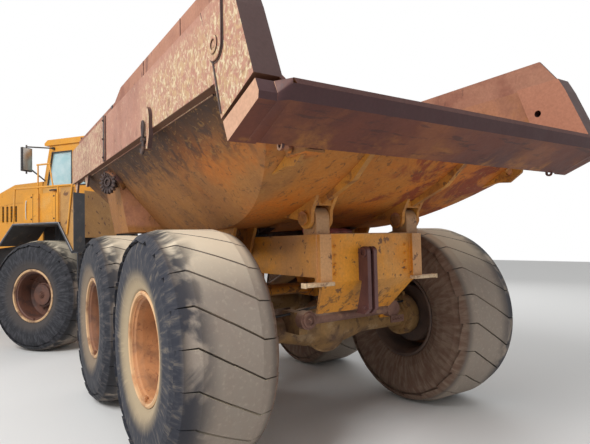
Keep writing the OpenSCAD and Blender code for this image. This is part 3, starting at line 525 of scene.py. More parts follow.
RAIL_PAINT = Coat("bed_rail_paint", srgb(176, 126, 106), (
    Layer(srgb(152, 104, 86), 1.3, 0.45, 0.65, 0.8),
    Layer(srgb(196, 154, 130), 2.2, 0.50, 0.70, 0.6),
    Layer(srgb(196, 166, 118), 23.0, 0.47, 0.60, 0.62, (1.0, 1.0, 0.62), 9, 1.0,
          ((Along.X, 0.35, -0.25), (Along.Z, 2.98, 2.80), (Along.OUT, 0.6, 0.9))),
    Layer(srgb(222, 208, 170), 38.0, 0.50, 0.61, 0.80, (1.0, 1.0, 0.60), 9, 1.1,
          ((Along.X, 0.35, -0.25), (Along.Z, 3.00, 2.85), (Along.OUT, 0.6, 0.9))),
    Layer(srgb(214, 196, 156), 32.0, 0.48, 0.60, 0.80, (1.0, 1.0, 0.55), 9, 1.0,
          ((Along.X, 1.3, 1.75), (Along.OUT, 0.6, 0.9))),
    Layer(srgb(212, 192, 156), 32.0, 0.58, 0.66, 0.55, (1.0, 1.0, 0.55), 9, 0.9, ((Along.OUT, 0.6, 0.9),)),
    Layer(srgb(126, 84, 64), 9.0, 0.62, 0.70, 0.55),
    Layer(srgb(178, 120, 92), 0.0, share=0.8, gates=((Along.OUT, -0.5, -0.9),)),
    # The next two layers are painted shade: dark on faces that look rearwards and on faces that look down.
    Layer(srgb(62, 40, 40), 0.0, share=0.95, gates=((Along.BACK, 0.35, 0.75),)),
    Layer(srgb(84, 52, 32), 0.0, share=0.9, gates=((Along.DOWN, 0.5, 0.9),)),
    Layer(srgb(96, 64, 52), 2.0, 0.40, 0.62, 0.75, gates=((Along.UP, 0.5, 0.9),)),
), 0.62)
SLOPE_PAINT = Coat("bed_paint", srgb(152, 102, 54), (
    Layer(srgb(172, 116, 56), 0.9, 0.42, 0.60, 0.85),
    Layer(srgb(126, 84, 48), 2.6, 0.48, 0.64, 0.65, (1, 1, 0.8)),
    Layer(srgb(188, 114, 34), 0.0, share=0.8, gates=((Along.DOWN, 0.55, 0.98), (Along.SIDE, 0.95, 0.80))),
    Layer(srgb(196, 108, 22), 1.2, 0.44, 0.60, 0.85, gates=((Along.DOWN, 0.4, 0.8), (Along.X, 0.6, -0.4))),
    Layer(srgb(132, 56, 26), 2.6, 0.47, 0.58, 0.95, (1, 1, 1), 8, 0.9,
          ((Along.DOWN, 0.4, 0.8), (Along.Y, 0.35, -0.15), (Along.X, 0.0, -0.7))),
    # Dark rust band under the rail, deepened with painted shade from the rail's overhang.
    Layer(srgb(58, 34, 20), 1.7, 0.18, 0.50, 0.95, (1.0, 1.0, 0.5), 6, 0.6,
          ((Along.Z, 2.20, 2.52), (Along.DOWN, 0.3, 0.5))),
    Layer(srgb(64, 42, 32), 9.0, 0.46, 0.60, 0.85, (1.0, 1.0, 0.30), 8, 0.8,
          ((Along.SIDE, 1.15, 1.42), (Along.DOWN, 0.3, 0.5))),
    Layer(srgb(168, 124, 66), 30.0, 0.55, 0.66, 0.50, (0.5, 1.0, 0.5), 9, 1.4),
    Layer(srgb(84, 56, 38), 22.0, 0.56, 0.66, 0.65, (0.6, 1.0, 0.6), 9, 1.4),
    Layer(srgb(186, 130, 106), 1.6, 0.30, 0.55, 0.90, gates=((Along.DOWN, 0.15, -0.1), (Along.Z, 1.84, 1.9))),
    Layer(srgb(140, 94, 76), 3.0, 0.48, 0.62, 0.70, gates=((Along.DOWN, 0.15, -0.1), (Along.Z, 1.84, 1.9))),
    # Painted shade: dark purple on faces that look rearwards, high on the bed.
    Layer(srgb(80, 52, 54), 0.0, share=0.9, gates=((Along.BACK, 0.82, 0.97), (Along.Z, 2.3, 2.38))),
), 0.72, grain=24.0, depth=0.002)
EAR_GOLD = Coat("bed_ear_paint", srgb(206, 142, 56), (
    Layer(srgb(168, 108, 48), 3.0, 0.42, 0.62, 0.8), Layer(srgb(124, 78, 48), 9.0, 0.54, 0.66, 0.75), FLECK,
    # Painted shade: darker blotches on faces that look down.
    Layer(srgb(122, 82, 52), 2.0, 0.35, 0.60, 0.6, gates=((Along.DOWN, 0.3, 0.8),)),
), 0.6)
BAR_CREAM = Coat("lamp_bar_cream", srgb(222, 196, 160), (
    Layer(srgb(196, 160, 122), 6.0, 0.44, 0.62, 0.8), Layer(srgb(130, 88, 64), 22.0, 0.56, 0.66, 0.8),
), 0.6)
GUARD_RUST = Coat("guard_rust", srgb(170, 120, 96), (
    Layer(srgb(138, 86, 68), 1.5, 0.42, 0.64, 0.85),
    Layer(srgb(178, 126, 102), 2.6, 0.52, 0.68, 0.65),
    Layer(srgb(104, 66, 54), 10.0, 0.58, 0.68, 0.65, (1, 1, 0.4)),
    # Painted shade: dark on faces that look rearwards.
    Layer(srgb(70, 42, 42), 0.0, share=0.9, gates=((Along.BACK, 0.35, 0.75),)),
    Layer(srgb(92, 62, 56), 0.0, share=0.6, gates=((Along.UP, 0.5, 0.9),)),
), 0.7)
BEAM_RUST = Coat("tail_beam_rust", srgb(104, 54, 38), (
    Layer(srgb(82, 40, 32), 1.4, 0.42, 0.62, 0.85),
    Layer(srgb(134, 78, 44), 1.8, 0.46, 0.66, 0.8, gates=((Along.DOWN, 0.3, 0.8),)),
    Layer(srgb(160, 104, 48), 3.0, 0.50, 0.62, 0.8, gates=((Along.DOWN, 0.3, 0.8), (Along.X, -1.70, -1.5))),
    Layer(srgb(60, 34, 32), 9.0, 0.58, 0.66, 0.6, (3.0, 0.5, 1.0)),
    # Painted shade: dark on faces that look rearwards.
    Layer(srgb(64, 32, 35), 0.0, share=0.95, gates=((Along.BACK, 0.70, 0.90),)),
    Layer(srgb(206, 160, 130), 6.0, 0.20, 0.45, 0.95, gates=((Along.OUT, 0.85, 0.97),)),
), 0.58)
PLATE_GOLD = Coat("frame_paint", srgb(236, 158, 44), (
    Layer(srgb(216, 138, 40), 1.8, 0.42, 0.64, 0.7),
    Layer(srgb(206, 156, 96), 1.1, 0.50, 0.64, 0.6),
    Layer(srgb(204, 156, 110), 0.0, share=0.85,
          gates=((Along.SIDE, 0.425, 0.435), (Along.BACK, 0.5, 0.9), (Along.Z, 1.30, 1.36))),
    Layer(srgb(178, 140, 102), 0.0, share=0.85, gates=((Along.Z, 1.70, 1.712),)),
    Layer(srgb(176, 128, 82), 1.5, 0.30, 0.60, 0.85, gates=((Along.OUT, 0.6, 0.9),)),
    Layer(srgb(112, 74, 46), 16.0, 0.52, 0.62, 0.80, gates=((Along.Z, 1.36, 1.14),)),
    FLECK, GRIME, UPPER_DUST,
    # Painted shade: darker blotches on faces that look down.
    Layer(srgb(104, 78, 58), 3.0, 0.30, 0.60, 0.7, gates=((Along.DOWN, 0.5, 0.9),)),
), 0.55)
AXLE_DIRT = Coat("axle_dirt", srgb(150, 116, 72), (
    Layer(srgb(108, 82, 62), 3.0, 0.42, 0.62, 0.85),
    Layer(srgb(176, 148, 112), 5.0, 0.52, 0.66, 0.6),
    Layer(srgb(84, 62, 50), 12.0, 0.55, 0.66, 0.7), UPPER_DUST,
), 0.8, grain=18.0, depth=0.003)
ROD_RUST = Coat("axle_rod_rust", srgb(128, 94, 80), (
    Layer(srgb(104, 72, 62), 4.0, 0.42, 0.62, 0.85),
    Layer(srgb(160, 124, 96), 7.0, 0.54, 0.66, 0.7),
    FLECK,
    UPPER_DUST,
), 0.75, depth=0.002)
TOW_PURPLE = Coat("recovery_plate_rust", srgb(108, 72, 68), (
    Layer(srgb(84, 54, 56), 2.5, 0.40, 0.62, 0.9, (1, 1, 0.4)),
    Layer(srgb(140, 100, 88), 6.0, 0.55, 0.66, 0.6, (1, 1, 0.3)),
    Layer(srgb(184, 150, 128), 0.0, share=0.9, gates=((Along.SIDE, 0.46, 0.5),)),
), 0.5)
PROP_PINK = Coat("prop_paint", srgb(186, 96, 92), (
    Layer(srgb(140, 74, 70), 4.0, 0.44, 0.62, 0.8), FLECK,
), 0.6)
HOIST_PAINT = Coat("hoist_paint", srgb(176, 130, 76), (
    Layer(srgb(138, 104, 72), 3.0, 0.42, 0.62, 0.8), FLECK, GRIME,
), 0.6)
ROD_STEEL = Coat("rod_steel", srgb(176, 172, 166), (
    Layer(srgb(140, 124, 108), 5.0, 0.48, 0.66, 0.7),
), 0.35, 0.8, 60.0, 0.0003)
CAB_PAINT = Coat("tractor_paint", srgb(226, 156, 46), (
    Layer(srgb(206, 144, 58), 1.4, 0.44, 0.66, 0.6), Layer(srgb(214, 172, 104), 2.8, 0.54, 0.70, 0.5),
    Layer(srgb(150, 96, 44), 14.0, 0.62, 0.70, 0.6),
    Layer(srgb(206, 168, 108), 3.0, 0.35, 0.70, 0.45, gates=((Along.UP, 0.4, 0.9),)),
), 0.42, grain=40.0, depth=0.0006, space=Space.TRACTOR)
HOOD_PAINT = Coat("hood_paint", srgb(224, 154, 48), (
    Layer(srgb(200, 142, 60), 1.4, 0.44, 0.66, 0.6), Layer(srgb(150, 96, 44), 14.0, 0.62, 0.70, 0.6),
    Layer(srgb(58, 58, 62), 0.0, share=0.95, gates=((Along.UP, 0.35, 0.7),)),
    Layer(srgb(96, 94, 92), 3.0, 0.40, 0.65, 0.6, gates=((Along.UP, 0.5, 0.9),)),
), 0.45, grain=40.0, depth=0.0006, space=Space.TRACTOR)
FENDER_BLACK = Coat("fender_black", srgb(46, 48, 54), (
    Layer(srgb(64, 66, 72), 2.0, 0.42, 0.66, 0.8),
    Layer(srgb(150, 148, 146), 4.0, 0.25, 0.60, 0.75, gates=((Along.UP, 0.6, 0.9),)),
    Layer(srgb(104, 92, 80), 9.0, 0.55, 0.68, 0.5),
), 0.55, space=Space.TRACTOR)
MACHINE_BLACK = Coat("machine_black", srgb(44, 44, 48), (
    Layer(srgb(66, 62, 60), 3.0, 0.44, 0.64, 0.8), Layer(srgb(112, 96, 80), 7.0, 0.55, 0.68, 0.5), UPPER_DUST,
), 0.5, space=Space.TRACTOR)
SCREEN_BEIGE = Coat("rear_screen_beige", srgb(188, 142, 82), (
    Layer(srgb(166, 122, 70), 1.6, 0.42, 0.64, 0.8), Layer(srgb(204, 164, 108), 2.8, 0.52, 0.68, 0.5), FLECK,
), 0.65, space=Space.TRACTOR)
SCREEN_EDGE = Coat("fender_edge_grey", srgb(138, 138, 142), (
    Layer(srgb(106, 104, 104), 5.0, 0.44, 0.64, 0.7), Layer(srgb(160, 148, 132), 9.0, 0.54, 0.68, 0.5),
), 0.5, space=Space.TRACTOR)
SEAT_CLOTH = Coat("seat_cloth", srgb(60, 60, 66), (
    Layer(srgb(78, 78, 84), 160.0, 0.46, 0.54, 0.7, (1.0, 1.0, 0.35), 2, 0.0),
    Layer(srgb(96, 88, 80), 5.0, 0.52, 0.68, 0.5),
), 0.95, grain=240.0, depth=0.0015, space=Space.TRACTOR)
LAMP_LENS = Coat("lamp_lens", srgb(214, 214, 206), (
    Layer(srgb(176, 176, 170), 60.0, 0.48, 0.52, 0.5, (1.0, 1.0, 0.2), 1, 0.0),
    Layer(srgb(170, 150, 124), 9.0, 0.5, 0.66, 0.4),
), 0.2, space=Space.TRACTOR)
DARK_IRON = Coat("dark_iron", srgb(78, 62, 58), (
    Layer(srgb(56, 46, 46), 6.0, 0.42, 0.62, 0.8), Layer(srgb(118, 88, 72), 12.0, 0.54, 0.66, 0.6),
), 0.6, 0.2, 60.0, 0.0008)
HOSE_BLACK = Coat("hose_rubber", srgb(40, 40, 44), (
    Layer(srgb(60, 58, 58), 9.0, 0.44, 0.62, 0.7), Layer(srgb(128, 112, 96), 5.0, 0.50, 0.66, 0.5),
), 0.7, grain=90.0, depth=0.0006)
PANE = Glass("window_glass", (0.50, 0.82, 0.88))


class PaintShop:
    """Builds each finish once."""

    def __init__(self) -> None:
        """Starts with an empty shelf."""
        self._shelf: dict[str, bpy.types.Material] = {}

    def get(self, finish: Coat | Glass | TyreSkin | RimPaint) -> bpy.types.Material:
        """Gives the material of a finish.

        Args:
            finish: the finish.

        Returns:
            Its material.
        """
        if finish.name not in self._shelf:
            self._shelf[finish.name] = finish.build()
        return self._shelf[finish.name]


class Bench:
    """Models pieces with edit operators and settles them on the truck."""

    def __init__(self, shop: PaintShop, space: Space) -> None:
        """Keeps the paint shop and the space that the pieces are drawn in.

        Args:
            shop: where finishes come from.
            space: the space of all places given to this bench.
        """
        self.shop = shop
        self.space = space

    @staticmethod
    def clear() -> None:
        """Deselects everything."""
        bpy.ops.object.select_all(action="DESELECT")

    def apply(self, piece: bpy.types.Object) -> None:
        """Applies place, turn and size to the mesh.

        Args:
            piece: the piece, which ends up selected and active.
        """
        self.clear()
        piece.select_set(True)
        bpy.context.view_layer.objects.active = piece
        bpy.ops.object.transform_apply(location=True, rotation=True, scale=True)

    def soften(self, piece: bpy.types.Object, width: float, segments: int = 2) -> None:
        """Rounds the sharp edges of a piece.

        Args:
            piece: the piece.
            width: width of the rounding in metres.
            segments: steps in it.
        """
        bevel = piece.modifiers.new("edge", "BEVEL")
        bevel.width, bevel.segments = width, segments
        bevel.limit_method, bevel.angle_limit = "ANGLE", math.radians(35)
        bpy.context.view_layer.objects.active = piece
        bpy.ops.object.modifier_apply(modifier=bevel.name)

    def cube(self, low: Point, high: Point) -> bpy.types.Object:
        """A box with sharp edges, to be shaped further.

        Args:
            low: lowest corner.
            high: highest corner.

        Returns:
            The piece.
        """
        self.clear()
        middle = [(a + b) / 2 for a, b in zip(low, high)]
        bpy.ops.mesh.primitive_cube_add(size=1, location=middle)
        piece = bpy.context.active_object
        piece.scale = [abs(b - a) for a, b in zip(low, high)]
        self.apply(piece)
        return piece

    @staticmethod
    def push_in(rim: float, shift: Point | Vector) -> None:
        """Insets the selected faces of the active piece and pushes them in.

        Args:
            rim: width of the rim that the inset leaves.
            shift: how far and which way the faces move.
        """
        bpy.ops.object.mode_set(mode="EDIT")
        bpy.ops.mesh.select_mode(type="FACE")
        bpy.ops.mesh.inset(thickness=rim)
        bpy.ops.mesh.extrude_region_move(TRANSFORM_OT_translate={"value": shift})
        bpy.ops.object.mode_set(mode="OBJECT")

    @staticmethod
    def turn_outwards() -> None:
        """Makes all faces of the active piece point outwards."""
        bpy.ops.object.mode_set(mode="EDIT")
        bpy.ops.mesh.select_all(action="SELECT")
        bpy.ops.mesh.normals_make_consistent(inside=False)
        bpy.ops.object.mode_set(mode="OBJECT")

    def block(self, low: Point, high: Point, edge: float = 0.004) -> bpy.types.Object:
        """A box with rounded edges.

        Args:
            low: lowest corner.
            high: highest corner.
            edge: width of the rounding.

        Returns:
            The piece.
        """
        piece = self.cube(low, high)
        self.soften(piece, edge)
        return piece

    def drum(self, start: Point, end: Point, radius: float, sides: int = 32,
             edge: float = 0.003) -> bpy.types.Object:
        """A cylinder between two points with rounded rims.

        Args:
            start: middle of one end.
            end: middle of the other.
            radius: its radius.
            sides: number of sides.
            edge: width of the rounding.

        Returns:
            The piece.
        """
        self.clear()
        a, b = Vector(start), Vector(end)
        bpy.ops.mesh.primitive_cylinder_add(vertices=sides, radius=radius, depth=(b - a).length,
                                            location=(a + b) / 2)
        piece = bpy.context.active_object
        piece.rotation_mode = "QUATERNION"
        piece.rotation_quaternion = (b - a).to_track_quat("Z", "Y")
        self.apply(piece)
        self.soften(piece, edge)
        return piece

    def cup(self, start: Point, end: Point, radius: float, wall: float, floor: float,
            sides: int = 32) -> bpy.types.Object:
        """A drum whose far end is hollowed by an inset and a push inwards.

        Args:
            start: middle of the closed end.
            end: middle of the open end.
            radius: its radius.
            wall: thickness of its wall.
            floor: depth of the hollow.
            sides: number of sides.

        Returns:
            The piece.
        """
        piece = self.drum(start, end, radius, sides, min(wall * 0.3, 0.003))
        axis = (Vector(end) - Vector(start)).normalized()
        reach = (Vector(end) - axis * 1e-4).dot(axis)
        for face in piece.data.polygons:
            face.select = face.normal.dot(axis) > 0.99 and face.center.dot(axis) > reach - 1e-3
        self.push_in(wall, -axis * floor)
        return piece

    def plate(self, outline: list[tuple[float, float]], start: float, end: float,
              edge: float = 0.003) -> bpy.types.Object:
        """A flat plate extruded along y from an outline.

        Args:
            outline: corners in x and z.
            start: where the plate starts along y.
            end: where it ends.
            edge: width of the rounding.

        Returns:
            The piece.
        """
        self.clear()
        bpy.ops.mesh.primitive_circle_add(vertices=len(outline), radius=1, fill_type="NGON")
        piece = bpy.context.active_object
        for vertex, (x, z) in zip(piece.data.vertices, outline):
            vertex.co = (x, start, z)
        bpy.ops.object.mode_set(mode="EDIT")
        bpy.ops.mesh.select_all(action="SELECT")
        bpy.ops.mesh.extrude_region_move(TRANSFORM_OT_translate={"value": (0, end - start, 0)})
        bpy.ops.object.mode_set(mode="OBJECT")
        self.turn_outwards()
        self.apply(piece)
        if edge > 0:
            self.soften(piece, edge, 1)
        return piece

    def tube(self, points: list[Point], radius: float, smooth: bool = True) -> bpy.types.Object:
        """A bent bar or hose through points.

        Args:
            points: where it runs.
            radius: its radius.
            smooth: bends it softly.

        Returns:
            The piece.
        """
        self.clear()
        curve = bpy.data.curves.new("route", "CURVE")
        curve.dimensions, curve.bevel_depth, curve.bevel_resolution, curve.resolution_u = "3D", radius, 3, 6
        curve.use_fill_caps = True
        spline = curve.splines.new("NURBS" if smooth else "POLY")
        spline.points.add(len(points) - 1)
        for point, place in zip(spline.points, points):
            point.co = (*place, 1)
        if smooth:
            spline.use_endpoint_u, spline.order_u = True, min(4, len(points))
        piece = bpy.data.objects.new("route", curve)
        bpy.context.scene.collection.objects.link(piece)
        piece.select_set(True)
        bpy.context.view_layer.objects.active = piece
        bpy.ops.object.convert(target="MESH")
        return bpy.context.active_object

    def bolt(self, place: Point, way: Point, size: float = 0.016) -> bpy.types.Object:
        """A hexagon bolt head with a washer and a stud end.

        Args:
            place: the foot of the head on the surface.
            way: direction it points.
            size: radius of the hexagon.

        Returns:
            The piece.
        """
        foot, axis = Vector(place), Vector(way).normalized()
        washer = self.drum(foot, foot + axis * size * 0.22, size * 1.35, 18, size * 0.06)
        head = self.drum(foot, foot + axis * size * 0.95, size, 6, size * 0.10)
        stud = self.drum(foot, foot + axis * size * 1.35, size * 0.52, 10, size * 0.08)
        return self.join([washer, head, stud])

    def join(self, pieces: list[bpy.types.Object]) -> bpy.types.Object:
        """Joins pieces to one.

        Args:
            pieces: what to join, the first stays.

        Returns:
            The joined piece.
        """
        self.clear()
        for piece in pieces:
            piece.select_set(True)
        bpy.context.view_layer.objects.active = pieces[0]
        bpy.ops.object.join()
        return bpy.context.active_object

    def again(self, piece: bpy.types.Object, matrix: Matrix) -> bpy.types.Object:
        """Copies a piece with its own mesh and moves the copy.

        Args:
            piece: what to copy.
            matrix: how the copy is moved.

        Returns:
            The copy.
        """
        twin = piece.copy()
        twin.data = piece.data.copy()
        bpy.context.scene.collection.objects.link(twin)
        twin.matrix_world = matrix
        self.apply(twin)
        if matrix.determinant() < 0:
            self.turn_outwards()
        return twin

    def ring(self, first: bpy.types.Object, count: int, centre: Point, axis: str = "Y") -> bpy.types.Object:
        """Repeats a piece round an axis and joins all.

        Args:
            first: the piece to repeat.
            count: how many in the ring.
            centre: a point on the axis.
            axis: the axis.

        Returns:
            The joined ring.
        """
        there = Matrix.Translation(centre)
        turns = [Matrix.Rotation(2 * math.pi * i / count, 4, axis) for i in range(1, count)]
        rest = [self.again(first, there @ turn @ there.inverted()) for turn in turns]
        return self.join([first, *rest])

    def pair(self, piece: bpy.types.Object) -> bpy.types.Object:
        """Joins a piece with its mirror image on the other side."""
        return self.join([piece, self.again(piece, MIRROR)])

    def settle(self, piece: bpy.types.Object, name: str, body: str, slot: Slot,
               finish: Coat | RimPaint, smooth: float = 40.0) -> None:
        """Names, places, paints and seats a finished piece.

        Args:
            piece: the piece.
            name: its name.
            body: the body it rides on.
            slot: the record's material slot.
            finish: its finish.
            smooth: edges flatter than this many degrees are shaded smooth.
        """
        piece.matrix_world = self.space.matrix() @ piece.matrix_world
        self.apply(piece)
        bpy.ops.object.shade_smooth_by_angle(angle=math.radians(smooth))
        piece.name = name
        piece.data.name = name
        piece.data.materials.clear()
        piece.data.materials.append(self.shop.get(finish))
        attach(piece, body)
        LOG.info("%s on %s", name, body)


WHEELS: dict[str, tuple[Space, float, int]] = {
    "front_left": (Space.TRACTOR, FRONT_AXLE, 1),
    "front_right": (Space.TRACTOR, FRONT_AXLE, -1),
    "mid_left": (Space.REAR, MID_AXLE, 1),
    "mid_right": (Space.REAR, MID_AXLE, -1),
    "rear_left": (Space.REAR, 0.0, 1),
    "rear_right": (Space.REAR, 0.0, -1),
}


def wheel_finishes(name: str) -> tuple[TyreSkin, RimPaint]:
    """Gives the finishes of a wheel; the front and middle ones get darker rubber and rims as painted shade.

    Args:
        name: name of the wheel.

    Returns:
        The finishes of its tyre and of its rim.
    """
    space, along, side = WHEELS[name]
    hub = tuple(space.matrix() @ Vector((along, side * HALF_TRACK, HUB_Z)))
    skin = TyreSkin("tyre_rubber_" + name, hub, space, side)
    paint = RimPaint("rim_paint_" + name, hub, space, side)
    # Front wheels: darker lug tops, dust ring, rubber and rim, all painted shade, as if the wheels stood in
    # shadow.
    if name.startswith("front"):
        skin = replace(skin, dust=srgb(112, 106, 100), ring=srgb(70, 64, 62), bare=srgb(30, 31, 36))
        paint = replace(paint, paint=srgb(104, 68, 54), worn=srgb(76, 54, 48))
    # Middle wheels: darker dust ring, rubber and rim, painted shade.
    if name.startswith("mid"):
        skin = replace(skin, ring=srgb(132, 116, 98), bare=srgb(34, 36, 44))
        paint = replace(paint, paint=srgb(136, 90, 62), worn=srgb(102, 70, 54))
    return skin, paint


CARRIED: tuple[tuple[Coat | Glass, tuple[str, ...]], ...] = (
    (PLATE_GOLD, ("rear_frame", "frame_neck", "hitch_yoke")),
    (AXLE_DIRT, ("rear_axles", "bogie_beams", "front_axle")),
    (ROD_RUST, ("axle_rods",)),
    (PROP_PINK, ("safety_prop",)),
    (TOW_PURPLE, ("tow_plates",)),
    (SLOPE_PAINT, ("bed_floor", "bed_chute", "bed_front", "bed_sides", "side_ribs")),
    (EAR_GOLD, ("bed_ears",)),
    (RAIL_PAINT, ("bed_rails",)),
    (GUARD_RUST, ("spill_guards",)),
    (BEAM_RUST, ("tail_beam",)),
    (HOIST_PAINT, ("hoist_barrel_left", "hoist_barrel_right", "steer_barrel_left", "steer_barrel_right")),
    (ROD_STEEL, ("hoist_rod_left", "hoist_rod_right", "steer_rod_left", "steer_rod_right")),
    (CAB_PAINT, ("front_frame", "cab", "cab_door", "side_tank", "hand_rails")),
    (HOOD_PAINT, ("hood",)),
    (FENDER_BLACK, ("fenders", "bumper")),
    (MACHINE_BLACK, ("engine", "grille", "steps", "exhaust", "mirrors")),
    (SCREEN_BEIGE, ("rear_screen",)),
    (PANE, ("cab_glass", "door_glass")),
    (SEAT_CLOTH, ("cab_seat",)),
    (LAMP_LENS, ("head_lamps",)),
)


@dataclass
class CarriedParts:
    """The parts that keep their solids and get a finish here."""

    frame: dict
    shop: PaintShop
    finish_of: dict[str, Coat | Glass | TyreSkin | RimPaint] = field(default_factory=dict)

    def sort(self) -> None:
        """Gives each node the finish of its kind."""
        for finish, nodes in CARRIED:
            self.finish_of.update({node: finish for node in nodes})
        for name in WHEELS:
            self.finish_of["tyre_" + name], self.finish_of["rim_" + name] = wheel_finishes(name)

    def dress(self) -> None:
        """Puts each finish on its node."""
        for node, finish in self.finish_of.items():
            mesh = self.frame["nodes"][node].data
            mesh.materials.clear()
            mesh.materials.append(self.shop.get(finish))
            LOG.info("%s wears %s", node, finish.name)


@dataclass
class WheelFittings:
    """Nuts, hub plugs, rim keys and valves of the wheels, and the brake housings behind the rear ones."""

    shop: PaintShop
    nuts: int = 16
    nut_circle: float = 0.262
    studs: int = 10
    stud_circle: float = 0.184

    def _outside(self, bench: Bench, along: float) -> bpy.types.Object:
        """Fittings on the outer side of a left wheel.

        Args:
            bench: the bench in the wheel's space.
            along: place of the wheel along the truck.

        Returns:
            The joined piece.
        """
        hub = (along, HALF_TRACK, HUB_Z)
        y = HALF_TRACK
        cap = bench.drum((along, y + 0.1665, HUB_Z), (along, y + 0.182, HUB_Z), 0.035, 20, 0.004)
        plug = bench.drum((along, y + 0.1825, HUB_Z), (along, y + 0.195, HUB_Z), 0.014, 6, 0.002)
        ring = bench.ring(bench.bolt((along + 0.045, y + 0.1665, HUB_Z), (0, 1, 0), 0.0075), 8, hub)
        nut = bench.bolt((along + self.nut_circle, y + 0.009, HUB_Z), (0, 1, 0), 0.016)
        nuts = bench.ring(nut, self.nuts, hub)
        stud = bench.bolt((along + self.stud_circle, y + 0.120, HUB_Z), (0, 1, 0), 0.008)
        studs = bench.ring(stud, self.studs, hub)
        key = bench.block((along - 0.022, y + 0.302, HUB_Z - 0.408),
                          (along + 0.022, y + 0.329, HUB_Z - 0.352), 0.006)
        stem = bench.tube([(along + 0.20, y + 0.050, HUB_Z + 0.20), (along + 0.225, y + 0.090, HUB_Z + 0.225),
                           (along + 0.245, y + 0.16, HUB_Z + 0.245)], 0.006)
        return bench.join([cap, plug, ring, nuts, studs, key, stem])

    def _brake(self, bench: Bench, along: float) -> bpy.types.Object:
        """Brake housing round the axle on the inner side of a left rear wheel.

        Args:
            bench: the bench in the rear space.
            along: place of the wheel along the truck.

        Returns:
            The joined piece.
        """
        hub = (along, 1.0, HUB_Z)
        shell = bench.drum((along, 0.945, HUB_Z), (along, 1.065, HUB_Z), 0.205, 48, 0.014)
        lid = bench.drum((along, 0.932, HUB_Z), (along, 0.960, HUB_Z), 0.150, 40, 0.008)
        bolts = bench.ring(bench.bolt((along + 0.178, 0.944, HUB_Z), (0, -1, 0), 0.011), 14, hub)
        port = bench.drum((along - 0.06, 0.99, HUB_Z + 0.19), (along - 0.06, 0.99, HUB_Z + 0.235), 0.018, 12)
        return bench.join([shell, lid, bolts, port])

    def build(self) -> None:
        """Builds the fittings of all wheels."""
        for name, (space, along, side) in WHEELS.items():
            bench = Bench(self.shop, space)
            piece = self._outside(bench, along)
            if side < 0:
                twin = bench.again(piece, MIRROR)
                bpy.data.objects.remove(piece, do_unlink=True)
                piece = twin
            bench.settle(piece, "wheel_fittings_" + name, "wheel_" + name, Slot.RIM, wheel_finishes(name)[1])
        bench = Bench(self.shop, Space.REAR)
        rear = bench.pair(self._brake(bench, 0.0))
        middle = bench.again(rear, Matrix.Translation((MID_AXLE, 0, 0)))
        bench.settle(bench.join([rear, middle]), "brake_housings", "rear_frame", Slot.YELLOW, AXLE_DIRT)


